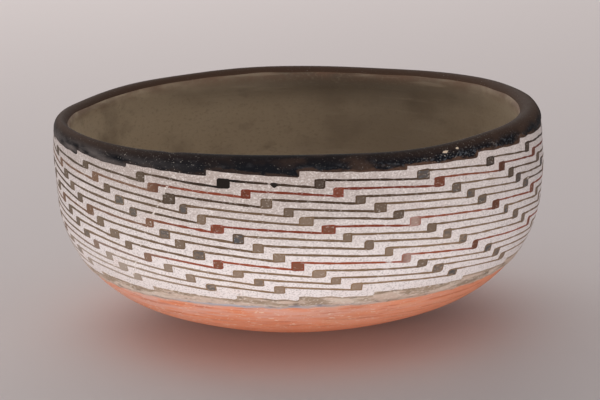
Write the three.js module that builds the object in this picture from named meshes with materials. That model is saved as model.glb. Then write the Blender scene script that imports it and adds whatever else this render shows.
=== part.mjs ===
// A hand-built painted earthenware bowl: shallow round base, upright wall, thick rounded lip.
// Millimetres, +Z up. The bowl's axis is the Z axis and its flat foot rests on z = 0.
// Angles round the bowl start at the front (-Y) and grow towards +X.
import * as THREE from "three";

// Fired clay, measured on its outer surface
const RIM_RADIUS = 109.5; // widest outer radius, reached at WIDEST_HEIGHT
const HEIGHT = 95.5; // foot to the top of the lip
const WIDEST_HEIGHT = 80; // where the barrelled wall stands upright
const FOOT_RADIUS = 23; // flat patch that the bowl stands on
const BASE_CURVE = 200; // radius of the shallow base, in section
const SHOULDER_CURVE = 53; // radius of the turn from base to wall, in section
const WALL_CURVE = 230; // radius of the wall's slight barrel, in section
const CLAY_THICKNESS = 9; // base and wall, and so also the diameter of the round lip
const RIM_COIL_DEPTH = 12; // how far the rim coil comes down the outside from the lip
const SEAM_CLIMB = 5; // how much higher a bevelled seam lies on the inside than on the outside

// Coats
const SLIP_THICKNESS = 0.4;
const SLIP_SEAT = 0.05; // room under the slip, so that its facets stay clear of the clay
const PAINT_THICKNESS = 0.3;
const PAINT_SEAT = 0.15; // least room under the paint, so that its flat facets stay clear of the slip
const RIM_BAND_OVER = 11; // how far the slip and the dark band reach over the lip's curve from the outside

// Painted pattern, measured along the outer surface
const LINE_COUNT = 13;
const FIRST_RED_LINE = 2;
const RED_LINE_EVERY = 4;
const RIM_BAND_OUTSIDE = 2.1; // mean lower edge of the dark band, below the start of the lip's curve
const ROW_PITCH = 3.87; // from one painted line to the next, and from the dark band's edge to the first line
const BORDER_GAP = 4.85; // from the last line to the mean upper edge of the lower border
const LINE_WIDTH = 0.95;
const BLOCK_WIDTH = 4.8;
const BLOCK_HEIGHT = 3.8;
const BAND_STEP = 2.3; // height of the steps in the edges of the rim band and the lower border
const STEP_SLANT = 0.3; // width over which a step or the side of a block climbs
const BORDER_DEPTH = 6.5; // lower border, below its mean upper edge

// Columns of blocks, which lean to the right as they go down the wall. Each has its angle in degrees at the
// rim band and at the lower border, and how far it bows to the left or right half-way.
const FRONT_COLUMNS = [
  { top: -93, bottom: -38, bow: 0 },
  { top: -77, bottom: -15.5, bow: -4.2 },
  { top: -59.3, bottom: -0.8, bow: -1 },
  { top: -40.8, bottom: 17, bow: -1.8 },
  { top: -20.2, bottom: 42, bow: -0.7 },
  { top: 0, bottom: 60.8, bow: -0.6 },
  { top: 23.6, bottom: 87, bow: -2.1 },
  { top: 42.8, bottom: 103.5, bow: -2 },
  { top: 59.4, bottom: 121, bow: -1.2 },
];
const BACK_COLUMNS = 9; // evenly spaced behind

// Fineness of the faceted solids
const FACET_COUNT = 40; // round the bowl
const SECTION_SAG = 0.5; // most that a facet may lie inside the curve of the section

// Finishes of the fired surfaces
const BURNISHED_CLAY = { color: 0xc0704f, roughness: 0.55 };
const BODY_CLAY = { color: 0xb37354, roughness: 0.8 };
const CREAM_SLIP = { color: 0xe8ddcf, roughness: 0.7 };
const BUFF_SLIP = { color: 0xb49c78, roughness: 0.7 };
const BLACK_PAINT = { color: 0x2b2523, roughness: 0.5 };
const GREY_PAINT = { color: 0x8d7c6b, roughness: 0.7 };
const BROWN_PAINT = { color: 0x5b4c3f, roughness: 0.6 };
const RED_PAINT = { color: 0x86331f, roughness: 0.6 };

const FULL_TURN = 2 * Math.PI;
const RIGHT_ANGLE = Math.PI / 2;
const FACET_ANGLE = FULL_TURN / FACET_COUNT;
const ON_AXIS = 1e-6; // a point nearer to the axis than this lies on it
const radians = THREE.MathUtils.degToRad;

// The point at a distance from a centre, in a direction given by its angle
function away(centre, angle, distance) {
  return new THREE.Vector2(Math.cos(angle), Math.sin(angle)).multiplyScalar(distance).add(centre);
}

// One arc of the clay's section. Facing is +1 where the clay ends on the far side from the centre, -1 where
// it ends on the near side, so that a positive lift always leads out of the clay.
class SectionArc {
  constructor(centre, radius, start, end, facing) {
    Object.assign(this, { centre, radius, start, end, facing });
    this.length = radius * Math.abs(end - start);
  }

  point(fraction, lift) {
    const angle = THREE.MathUtils.lerp(this.start, this.end, fraction);
    return away(this.centre, angle, this.radius + this.facing * lift);
  }

  facets(length) {
    const widest = 2 * Math.acos(1 - SECTION_SAG / this.radius);
    return Math.ceil(length / this.radius / widest);
  }
}

// The clay's section as a chain of tangent arcs: out from the foot, up the wall, over the lip and down inside
class Section {
  constructor() {
    const base = new THREE.Vector2(0, Math.sqrt(BASE_CURVE ** 2 - FOOT_RADIUS ** 2));
    const wall = new THREE.Vector2(RIM_RADIUS - WALL_CURVE, WIDEST_HEIGHT);
    const shoulder = Section.shoulderCentre(base, wall);
    const half = CLAY_THICKNESS / 2;
    const footAngle = Math.atan2(-base.y, FOOT_RADIUS);
    const baseEnd = shoulder.clone().sub(base).angle() - FULL_TURN;
    const wallStart = shoulder.clone().sub(wall).angle() - FULL_TURN;
    const wallEnd = Math.asin((HEIGHT - half - WIDEST_HEIGHT) / (WALL_CURVE - half));
    const lip = away(wall, wallEnd, WALL_CURVE - half);
    this.outside = [
      new SectionArc(base, BASE_CURVE, footAngle, baseEnd, 1),
      new SectionArc(shoulder, SHOULDER_CURVE, baseEnd, wallStart, 1),
      new SectionArc(wall, WALL_CURVE, wallStart, wallEnd, 1),
    ];
    this.inside = [
      new SectionArc(wall, WALL_CURVE - CLAY_THICKNESS, wallEnd, wallStart, -1),
      new SectionArc(shoulder, SHOULDER_CURVE - CLAY_THICKNESS, wallStart, baseEnd, -1),
      new SectionArc(base, BASE_CURVE - CLAY_THICKNESS, baseEnd, -RIGHT_ANGLE, -1),
    ];
    this.lip = new SectionArc(lip, half, wallEnd, wallEnd + Math.PI, 1);
    this.arcs = [...this.outside, this.lip, ...this.inside];
    this.lipStart = this.outside.reduce((sum, arc) => sum + arc.length, 0);
    this.end = this.arcs.reduce((sum, arc) => sum + arc.length, 0);
  }

  // The shoulder touches the base arc and the wall arc from within, so its centre lies at known distances
  // from both of theirs.
  static shoulderCentre(base, wall) {
    const fromBase = BASE_CURVE - SHOULDER_CURVE;
    const fromWall = WALL_CURVE - SHOULDER_CURVE;
    const spacing = base.distanceTo(wall);
    const along = (fromBase ** 2 - fromWall ** 2 + spacing ** 2) / (2 * spacing);
    const across = Math.sqrt(fromBase ** 2 - along ** 2);
    const towards = wall.clone().sub(base).divideScalar(spacing);
    const aside = new THREE.Vector2(-towards.y, towards.x);
    return base.clone().addScaledVector(towards, along).addScaledVector(aside, across);
  }

  // The point a given way along the section from the edge of the foot, lifted off the clay
  point(distance, lift = 0) {
    let before = 0;
    for (const arc of this.arcs) {
      if (distance <= before + arc.length || arc === this.arcs.at(-1)) {
        return arc.point((distance - before) / arc.length, lift);
      }
      before += arc.length;
    }
  }

  // Distances that cut the stretch between two places into facets, with every change of arc among them
  stations(from, to) {
    const cuts = [from];
    let before = 0;
    for (const arc of this.arcs) {
      const start = Math.max(from, before);
      const stop = Math.min(to, before + arc.length);
      const count = stop > start ? arc.facets(stop - start) : 0;
      for (let i = 1; i <= count; i++) {
        cuts.push(THREE.MathUtils.lerp(start, stop, i / count));
      }
      before += arc.length;
    }
    return cuts;
  }

  // The place on the inside that lies straight through the clay from a place on the outside wall or shoulder
  opposite(distance) {
    let outer = 0;
    let inner = this.end;
    for (const [i, arc] of this.outside.entries()) {
      const within = this.inside.at(-1 - i);
      const overFoot = i === 0 ? (arc.start + RIGHT_ANGLE) * within.radius : 0;
      if (distance <= outer + arc.length) {
        return inner - overFoot - (distance - outer) * (within.radius / arc.radius);
      }
      outer += arc.length;
      inner -= within.length;
    }
  }
}

const section = new Section();
const outline = (distances, lift = 0) => distances.map((distance) => section.point(distance, lift));

// Places along the section, from the edge of the foot
const BORDER_ROW = LINE_COUNT + 1;
const bandEdge = section.lipStart - RIM_BAND_OUTSIDE;
const borderEdge = bandEdge - LINE_COUNT * ROW_PITCH - BORDER_GAP;
const rowPlace = (row) => (row === BORDER_ROW ? borderEdge : bandEdge - row * ROW_PITCH);
const baseSeam = borderEdge - BORDER_DEPTH;
const rimSeam = section.lipStart - RIM_COIL_DEPTH;
const baseSeamInside = section.opposite(baseSeam) - SEAM_CLIMB;
const rimSeamInside = section.opposite(rimSeam) - SEAM_CLIMB;
const slipEdge = section.lipStart + RIM_BAND_OVER;

const baseOutside = section.stations(0, baseSeam);
const wallOutside = section.stations(baseSeam, rimSeam);
const rimOver = section.stations(rimSeam, slipEdge);
const rimInside = section.stations(slipEdge, rimSeamInside);
const wallInside = section.stations(rimSeamInside, baseSeamInside);
const baseInside = section.stations(baseSeamInside, section.end);

// Room from the slip to the paint: a straight facet of paint dips this far inside the round of the bowl
const facetDip = RIM_RADIUS * (1 - Math.cos(FACET_ANGLE / 2));
const slipTop = SLIP_SEAT + SLIP_THICKNESS;
const paintUnderside = slipTop + facetDip + PAINT_SEAT;
const paintTop = paintUnderside + PAINT_THICKNESS;

function piece(name, geometry, finish) {
  const mesh = new THREE.Mesh(geometry, new THREE.MeshStandardMaterial({ ...finish, metalness: 0 }));
  mesh.name = name;
  return mesh;
}

// A piece that is round about the bowl's axis. Its outline starts and ends on the axis, or else is closed.
function turned(points) {
  const closing = points[0].x > ON_AXIS ? [points[0]] : [];
  return new THREE.LatheGeometry([...points, ...closing], FACET_COUNT).rotateX(RIGHT_ANGLE);
}

// A coat of slip, which follows the clay's own facets
function coat(distances) {
  return turned([...outline(distances, SLIP_SEAT).reverse(), ...outline(distances, slipTop)]);
}

// The angles of the columns of blocks at one row, in order round the bowl
function columnAngles(row) {
  const share = row / BORDER_ROW;
  const angles = FRONT_COLUMNS.map(({ top, bottom, bow }) => {
    return radians(THREE.MathUtils.lerp(top, bottom, share) + bow * Math.sin(Math.PI * share));
  });
  const last = angles.at(-1);
  const gap = (angles[0] + FULL_TURN - last) / (BACK_COLUMNS + 1);
  for (let i = 1; i <= BACK_COLUMNS; i++) {
    angles.push(last + i * gap);
  }
  return angles;
}

// Cuts the way from one place on a painted edge to the next into facets, leaving out its first place
function facetsBetween(from, to) {
  const count = Math.ceil((to.angle - from.angle) / FACET_ANGLE);
  return Array.from({ length: count }, (_, i) => {
    const share = (i + 1) / count;
    return {
      angle: THREE.MathUtils.lerp(from.angle, to.angle, share),
      low: THREE.MathUtils.lerp(from.low, to.low, share),
      high: THREE.MathUtils.lerp(from.high, to.high, share),
    };
  });
}

// Goes once round the bowl through the corners of each column, cut into facets in between
function roundTrip(corners) {
  const start = corners[0];
  const closing = { ...start, angle: start.angle + FULL_TURN };
  const ends = [...corners.slice(1), closing];
  const trip = ends.flatMap((end, i) => facetsBetween(corners[i], end));
  return [start, ...trip.slice(0, -1)];
}

// A painted line: at each column it runs into the foot of a filled block and leaves from its top
function lineTrip(row) {
  const place = rowPlace(row);
  const radius = section.point(place).x;
  const halfBlock = BLOCK_WIDTH / 2 / radius;
  const slant = STEP_SLANT / radius;
  const low = place - BLOCK_HEIGHT / 2;
  const high = place + BLOCK_HEIGHT / 2;
  const corners = columnAngles(row).flatMap((angle) => [
    { angle: angle - halfBlock - slant, low, high: low + LINE_WIDTH },
    { angle: angle - halfBlock, low, high },
    { angle: angle + halfBlock, low, high },
    { angle: angle + halfBlock + slant, low: high - LINE_WIDTH, high },
  ]);
  return roundTrip(corners);
}

// A stepped edge: at each column it climbs one step, and then falls gently to the next column
function steppedEdge(row) {
  const place = rowPlace(row);
  const slant = STEP_SLANT / 2 / section.point(place).x;
  const corners = columnAngles(row).flatMap((angle) => [
    { angle: angle - slant, low: place - BAND_STEP / 2, high: place - BAND_STEP / 2 },
    { angle: angle + slant, low: place + BAND_STEP / 2, high: place + BAND_STEP / 2 },
  ]);
  return roundTrip(corners);
}

// Joins rings of corners, one ring for each angle round the bowl, into one closed band
function closedBand(rings) {
  const corners = rings[0].length;
  const positions = rings.flat().flatMap((corner) => corner.toArray());
  const faces = [];
  rings.forEach((_, ring) => {
    const here = ring * corners;
    const next = ((ring + 1) % rings.length) * corners;
    for (let i = 0; i < corners; i++) {
      const j = (i + 1) % corners;
      faces.push(here + i, next + i, next + j, here + i, next + j, here + j);
    }
  });
  const geometry = new THREE.BufferGeometry();
  geometry.setAttribute("position", new THREE.Float32BufferAttribute(positions, 3));
  geometry.setIndex(faces);
  geometry.computeVertexNormals();
  return geometry;
}

// A corner of a painted band: an angle round the bowl, a place along the section and a lift off the clay
function corner(angle, distance, lift) {
  const { x: radius, y: height } = section.point(distance, lift);
  return new THREE.Vector3(radius * Math.sin(angle), -radius * Math.cos(angle), height);
}

// A brushed line is fullest along its middle, so its section is a low ridge
function paintedLine(row) {
  const rings = lineTrip(row).map(({ angle, low, high }) => [
    corner(angle, low, paintUnderside),
    corner(angle, (low + high) / 2, paintTop),
    corner(angle, high, paintUnderside),
  ]);
  return closedBand(rings);
}

// A painted band between two edges, with an even thickness
function paintedBand(trip, distancesAt) {
  const rings = trip.map((place) => {
    const distances = distancesAt(place);
    const top = distances.map((distance) => corner(place.angle, distance, paintTop));
    const under = distances.map((distance) => corner(place.angle, distance, paintUnderside));
    return [...top, ...under.reverse()];
  });
  return closedBand(rings);
}

function clayPieces() {
  const foot = new THREE.Vector2(0, 0);
  const base = [foot, ...outline(baseOutside), ...outline(baseInside)];
  const wall = [...outline(wallOutside), ...outline(wallInside)];
  const rim = [...outline(rimOver), ...outline(rimInside.slice(1))];
  return [
    piece("base_dish", turned(base), BURNISHED_CLAY),
    piece("wall_ring", turned(wall), BODY_CLAY),
    piece("rim_coil", turned(rim), BODY_CLAY),
  ];
}

function coats() {
  const cream = [...wallOutside, ...rimOver.slice(1)];
  const buff = [...rimInside, ...wallInside.slice(1), ...baseInside.slice(1)];
  return [
    piece("cream_slip", coat(cream), CREAM_SLIP),
    piece("interior_slip", coat(buff), BUFF_SLIP),
  ];
}

function bands() {
  const lipStations = section.stations(section.lipStart, slipEdge);
  const rim = paintedBand(steppedEdge(0), ({ low }) => [low, ...lipStations]);
  const border = paintedBand(steppedEdge(BORDER_ROW), ({ high }) => [baseSeam, high]);
  return [
    piece("rim_paint", rim, BLACK_PAINT),
    piece("lower_border_paint", border, GREY_PAINT),
  ];
}

function lines() {
  return Array.from({ length: LINE_COUNT }, (_, i) => {
    const row = i + 1;
    const red = row >= FIRST_RED_LINE && (row - FIRST_RED_LINE) % RED_LINE_EVERY === 0;
    const name = `painted_line_${String(row).padStart(2, "0")}`;
    return piece(name, paintedLine(row), red ? RED_PAINT : BROWN_PAINT);
  });
}

const bowl = new THREE.Group();
bowl.add(...clayPieces(), ...coats(), ...bands(), ...lines());

export default bowl;
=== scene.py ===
"""A hand-built painted earthenware bowl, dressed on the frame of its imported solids.

The clay's section is a chain of tangent arcs, turned about the Z axis. Slips and paints lie on it as thin
coats. Every surface is worked out on a grid of columns round the bowl and corners across, as whole numpy
arrays. Sizes are millimetres, and become metres when a mesh is made. Angles round the bowl start at the
front (-Y) and grow towards +X. A place is a distance along the section from the edge of the foot, up the
outside, over the lip and down the inside. A lift is a distance out of the clay.
"""

import logging
import math
from dataclasses import dataclass, field
from enum import Enum, IntEnum
from typing import Any

import bmesh
import bpy
import numpy as np
from mathutils import Matrix, Vector


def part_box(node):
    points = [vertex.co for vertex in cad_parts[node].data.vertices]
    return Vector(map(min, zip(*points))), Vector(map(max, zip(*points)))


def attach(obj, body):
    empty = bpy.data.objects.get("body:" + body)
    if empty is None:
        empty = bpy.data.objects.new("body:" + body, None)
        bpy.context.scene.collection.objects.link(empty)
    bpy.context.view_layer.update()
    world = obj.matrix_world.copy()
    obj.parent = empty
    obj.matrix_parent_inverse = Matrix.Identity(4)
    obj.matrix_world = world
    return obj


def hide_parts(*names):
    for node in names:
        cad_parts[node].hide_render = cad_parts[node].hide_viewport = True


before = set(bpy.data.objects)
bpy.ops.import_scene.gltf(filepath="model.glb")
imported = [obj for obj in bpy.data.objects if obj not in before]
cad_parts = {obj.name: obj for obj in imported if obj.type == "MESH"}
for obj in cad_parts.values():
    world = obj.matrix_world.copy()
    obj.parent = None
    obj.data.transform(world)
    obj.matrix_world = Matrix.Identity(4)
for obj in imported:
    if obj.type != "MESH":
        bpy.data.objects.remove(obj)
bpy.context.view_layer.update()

LOG = logging.getLogger("painted_bowl")
Array = np.ndarray
Socket = bpy.types.NodeSocket

MM = 0.001  # metres in a millimetre
FULL_TURN = 2 * math.pi
BODY = "root"
SEED = 9
MAP_NAME = "OFBake"  # the name of the texture map that each piece is laid out on
LAY = "lay"  # attribute with the place of a pattern: x, y and the distance along the section
POLE_MERGE = 1e-7  # metres; corners nearer than this are one, as at a pole
SHARP_ANGLE = math.radians(60)
FACE_AROUND = np.array([0, 1, 1, 0])  # the corners of a face, in steps round the bowl
FACE_ACROSS = np.array([0, 0, 1, 1])  # the same corners, in steps across
LIP_ARC = 3  # the lip's number in the section's chain of arcs
ARCH_GAIN = 4  # s(1 - s) times this reaches 1 halfway
MATRIX_SIZE = 4

# The sRGB curve: straight up to a small value, and above it a power of the shifted value
FULL_BYTE = 255
SRGB_STRAIGHT_END = 0.04045
SRGB_STRAIGHT_SLOPE = 12.92
SRGB_SHIFT = 0.055
SRGB_POWER = 2.4


class Slot(Enum):
    """The material slots, by name."""

    BURNISHED_CLAY = "burnished_clay"
    BODY_CLAY = "body_clay"
    BUFF_SLIP = "buff_slip"
    CREAM_SLIP = "cream_slip"
    BLACK_PAINT = "black_paint"
    GREY_PAINT = "grey_paint"
    BROWN_PAINT = "brown_paint"
    RED_PAINT = "red_paint"


class Draw(IntEnum):
    """Starts of the seeds, one for each thing that is drawn. A row's number is added where there are rows."""

    ROUNDNESS = 1
    DENTS = 2
    INNER_EDGE = 3
    BORDER_FOOT = 4
    STEPS = 20
    STEP_EDGE = 40
    LINES = 100
    DRIFT = 200
    SWELL = 300


def smooth(low: float, high: float, value: Array) -> Array:
    """Rises from 0 to 1 as a value goes from low to high, with level ends: 3t^2 - 2t^3 for its share t."""
    share = np.clip((np.asarray(value, float) - low) / (high - low), 0.0, 1.0)
    return share * share * (3.0 - 2.0 * share)


def ripple(angle: Array, waves: tuple[int, int], count: int, seed: int) -> Array:
    """Makes an uneven but repeatable curve round the bowl.

    It is a sum of cosines, each with a whole number of waves in a turn and a phase drawn from the seed,
    divided by the root of half their count, so that its mean square is 1.

    Args:
        angle: Angles round the bowl.
        waves: Fewest and most waves in a turn.
        count: How many cosines are added.
        seed: Seed of the draw.

    Returns:
        The curve's value at each angle.
    """
    draw = np.random.default_rng([SEED, seed])
    orders = draw.integers(waves[0], waves[1] + 1, count)
    phases = draw.uniform(0.0, FULL_TURN, count)
    total = sum(np.cos(order * angle + phase) for order, phase in zip(orders, phases))
    return total / math.sqrt(count / 2)


@dataclass(frozen=True)
class Bell:
    """A bell-shaped rise round the bowl: its middle and its spread in degrees, and its height."""

    middle: float
    spread: float
    height: float = 1.0

    def at(self, angle: Array) -> Array:
        """The rise at each angle: height * exp(-(away / spread)^2), away measured the short way round."""
        away = (angle - math.radians(self.middle) + math.pi) % FULL_TURN - math.pi
        return self.height * np.exp(-((away / math.radians(self.spread)) ** 2))


FLAT = Bell(0, 1, 0)  # no rise anywhere


@dataclass(frozen=True)
class Arc:
    """One arc of the section. Facing is +1 where the clay ends on the far side from the centre, else -1."""

    centre: Array
    radius: float
    start: float
    end: float
    facing: float

    @property
    def length(self) -> float:
        """The arc's length."""
        return self.radius * abs(self.end - self.start)

    def row(self) -> list[float]:
        """The numbers that place a point: centre, radius, start, sweep, facing and length."""
        return [*self.centre, self.radius, self.start, self.end - self.start, self.facing, self.length]


@dataclass
class ClaySection:
    """The clay's section: up the base, shoulder and wall outside, over the round lip and back down inside.

    Curves are the radii of the outside arcs. The wall is widest at the height of its arc's centre.
    """

    rim_radius: float
    height: float
    widest_height: float = 80.0
    foot_radius: float = 23.0
    base_curve: float = 200.0
    shoulder_curve: float = 53.0
    wall_curve: float = 230.0
    thickness: float = 9.0
    table: Array = field(init=False)
    starts: Array = field(init=False)

    def __post_init__(self) -> None:
        """Works out the arcs, each tangent to the next.

        The shoulder touches the base and the wall from within, so its centre lies at the differences of the
        radii from their centres. The inside arcs share the outside centres, with radii smaller by the
        thickness.
        """
        half = self.thickness / 2
        base = np.array([0.0, math.sqrt(self.base_curve**2 - self.foot_radius**2)])
        wall = np.array([self.rim_radius - self.wall_curve, self.widest_height])
        shoulder = self.shoulder_centre(base, wall)
        foot_angle = math.atan2(-base[1], self.foot_radius)
        base_end = math.atan2(*(shoulder - base)[::-1])
        wall_start = math.atan2(*(shoulder - wall)[::-1])
        wall_end = math.asin((self.height - half - self.widest_height) / (self.wall_curve - half))
        lip = wall + (self.wall_curve - half) * np.array([math.cos(wall_end), math.sin(wall_end)])
        arcs = [
            Arc(base, self.base_curve, foot_angle, base_end, 1),
            Arc(shoulder, self.shoulder_curve, base_end, wall_start, 1),
            Arc(wall, self.wall_curve, wall_start, wall_end, 1),
            Arc(lip, half, wall_end, wall_end + math.pi, 1),
            Arc(wall, self.wall_curve - self.thickness, wall_end, wall_start, -1),
            Arc(shoulder, self.shoulder_curve - self.thickness, wall_start, base_end, -1),
            Arc(base, self.base_curve - self.thickness, base_end, -math.pi / 2, -1),
        ]
        self.table = np.array([arc.row() for arc in arcs])
        self.starts = np.concatenate([[0.0], np.cumsum(self.table[:, -1])])

    def shoulder_centre(self, base: Array, wall: Array) -> Array:
        """Finds the shoulder's centre, where two circles round the other centres cross.

        Args:
            base: Centre of the base arc.
            wall: Centre of the wall arc.

        Returns:
            The crossing on the outer side.
        """
        from_base = self.base_curve - self.shoulder_curve
        from_wall = self.wall_curve - self.shoulder_curve
        spacing = math.dist(base, wall)
        along = (from_base**2 - from_wall**2 + spacing**2) / (2 * spacing)
        towards = (wall - base) / spacing
        aside = np.array([-towards[1], towards[0]])
        return base + along * towards + math.sqrt(from_base**2 - along**2) * aside

    @property
    def lip_start(self) -> float:
        """The place where the outside wall runs into the lip."""
        return float(self.starts[LIP_ARC])

    @property
    def lip_end(self) -> float:
        """The place where the lip runs into the inside wall."""
        return float(self.starts[LIP_ARC + 1])

    @property
    def end(self) -> float:
        """The place on the axis, inside."""
        return float(self.starts[-1])

    def opposite(self, place: float) -> float:
        """Finds the inside place straight through the clay.

        Args:
            place: A place on the outside wall or shoulder.

        Returns:
            The place at the same angle on the inside arc with the same centre.
        """
        outer = int(np.searchsorted(self.starts, place, side="right")) - 1
        inner = len(self.table) - 1 - outer
        share = (place - self.starts[outer]) / self.table[outer, -1]
        return float(self.starts[inner] + (1 - share) * self.table[inner, -1])

    def point(self, place: Array, lift: Array | float = 0.0) -> tuple[Array, Array]:
        """Finds points on or over the clay.

        A point is its arc's centre plus (radius + facing * lift) in the direction that the arc has turned to.

        Args:
            place: Distances along the section.
            lift: Distances out of the clay.

        Returns:
            Radii from the axis, and heights.
        """
        place = np.asarray(place, float)
        index = np.clip(np.searchsorted(self.starts, place, side="right") - 1, 0, len(self.table) - 1)
        x, z, radius, start, sweep, facing, length = np.moveaxis(self.table[index], -1, 0)
        angle = start + sweep * (place - self.starts[index]) / length
        reach = radius + facing * lift
        return x + reach * np.cos(angle), z + reach * np.sin(angle)


@dataclass(frozen=True)
class HandForming:
    """The unevenness of a bowl built up and scraped by hand.

    The plan has slow waves and shallow dents. The lip dips in places, is pinched in on one side and thinned
    from within on another, and has one nick. A reach or a full depth is measured down from the true top, and
    an inner or outer end inwards from the true rim.
    """

    out_of_round: float = 0.12
    round_waves: tuple[int, int] = (2, 5)
    dent_depth: float = 0.1
    dent_waves: tuple[int, int] = (7, 19)
    dent_lean: float = 60.0
    wave_count: int = 8
    level_below: float = 4.0
    full_above: float = 90.0
    lip_rise: float = 0.25
    lip_reach: float = 11.0
    lip_dips: tuple[Bell, ...] = (
        Bell(28, 17, 1.4),
        Bell(-43, 14, 0.75),
        Bell(157, 22, 1.2),
        Bell(-111, 21, 1.65),
        Bell(-147, 12, 0.55),
    )
    pinch: Bell = Bell(92, 26, 1.2)
    pinch_reach: float = 26.0
    thinned: Bell = Bell(-73, 31, 3.1)
    thinned_reach: float = 24.0
    thinned_full: float = 6.0
    thinned_outer: float = 1.0
    nick: Bell = Bell(-30, 1.4, 0.55)
    nick_outer: float = 3.0
    nick_inner: float = 6.5
    nick_reach: float = 5.0

    def move(self, section: ClaySection, angle: Array, radius: Array, height: Array) -> tuple[Array, Array]:
        """Moves points of a true round bowl to the hand-made one.

        Radius gains slow waves round the bowl and shallow dents that also change with height. They grow from
        nothing at the foot and on the axis, so coats that lie on each other stay so. Towards the top the
        radius loses the pinch, and its inner side gains what is thinned away. Near the top the height gains a
        small rise less the lip's dips, and the inner edge of the lip loses the nick.

        Args:
            section: The true section.
            angle: Angles round the bowl.
            radius: True radii.
            height: True heights.

        Returns:
            The moved radii and heights.
        """
        rim, top = section.rim_radius, section.height
        grown = smooth(self.level_below, self.full_above, height) * radius / rim
        rounds = self.out_of_round * ripple(angle, self.round_waves, self.wave_count, Draw.ROUNDNESS)
        leaning = angle + height / self.dent_lean
        dents = self.dent_depth * ripple(leaning, self.dent_waves, self.wave_count, Draw.DENTS)
        pinched = self.pinch.at(angle) * smooth(top - self.pinch_reach, top, height)
        within = smooth(rim - self.thinned_outer, rim - section.thickness, radius)
        by_top = smooth(top - self.thinned_reach, top - self.thinned_full, height)
        thinned = self.thinned.at(angle) * within * by_top
        near_lip = smooth(top - self.lip_reach, top, height)
        lips = self.lip_rise - sum(dip.at(angle) for dip in self.lip_dips)
        inner = smooth(rim - self.nick_outer, rim - self.nick_inner, radius)
        nicked = inner * smooth(top - self.nick_reach, top, height) * self.nick.at(angle)
        return radius + grown * (rounds + dents) - pinched + thinned, height + near_lip * lips - nicked


@dataclass(frozen=True)
class BlockColumn:
    """A column of blocks: degrees round the bowl at the rim band and at the border, and its bow between."""

    top: float
    bottom: float
    bow: float


@dataclass(frozen=True)
class Pattern:
    """The painted rows. Row 0 is the rim band's stepped edge, and the row after the lines is the border's.

    The rim band reaches down outside from the lip's start, and over the lip to the inside. Rows and the
    border are measured down the section.
    """

    line_count: int = 13
    first_red_line: int = 2
    red_line_every: int = 4
    band_outside: float = 2.1
    row_pitch: float = 3.87
    border_gap: float = 4.85
    border_depth: float = 6.5
    band_over: float = 11.0
    back_columns: int = 9
    front_columns: tuple[BlockColumn, ...] = (
        BlockColumn(-93, -38, 0),
        BlockColumn(-77, -15.5, -4.2),
        BlockColumn(-59.3, -0.8, -1),
        BlockColumn(-40.8, 17, -1.8),
        BlockColumn(-20.2, 42, -0.7),
        BlockColumn(0, 60.8, -0.6),
        BlockColumn(23.6, 87, -2.1),
        BlockColumn(42.8, 103.5, -2),
        BlockColumn(59.4, 121, -1.2),
    )

    @property
    def border_row(self) -> int:
        """The row of the lower border's stepped edge."""
        return self.line_count + 1

    @property
    def column_count(self) -> int:
        """How many columns of blocks go round the bowl."""
        return len(self.front_columns) + self.back_columns

    def drop(self, row: int) -> float:
        """Finds how far a row lies below the rim band's edge. The border keeps a wider gap than the lines.

        Args:
            row: The row's number.

        Returns:
            Millimetres down the section.
        """
        if row == self.border_row:
            return self.line_count * self.row_pitch + self.border_gap
        return row * self.row_pitch

    def is_red(self, row: int) -> bool:
        """Whether a row's line is red."""
        return row >= self.first_red_line and (row - self.first_red_line) % self.red_line_every == 0

    def angles(self, row: int) -> Array:
        """Finds a row's columns.

        Front columns run straight from top to bottom plus a half sine of their bow. The rest of the turn is
        cut into even gaps.

        Args:
            row: The row's number.

        Returns:
            Angles in radians, rising round the bowl.
        """
        share = row / self.border_row
        ends = np.array([[column.top, column.bottom, column.bow] for column in self.front_columns])
        top, bottom, bow = ends.T
        front = np.radians(top + share * (bottom - top) + bow * math.sin(math.pi * share))
        back = np.linspace(front[-1], front[0] + FULL_TURN, self.back_columns + 2)[1:-1]
        return np.concatenate([front, back])


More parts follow.
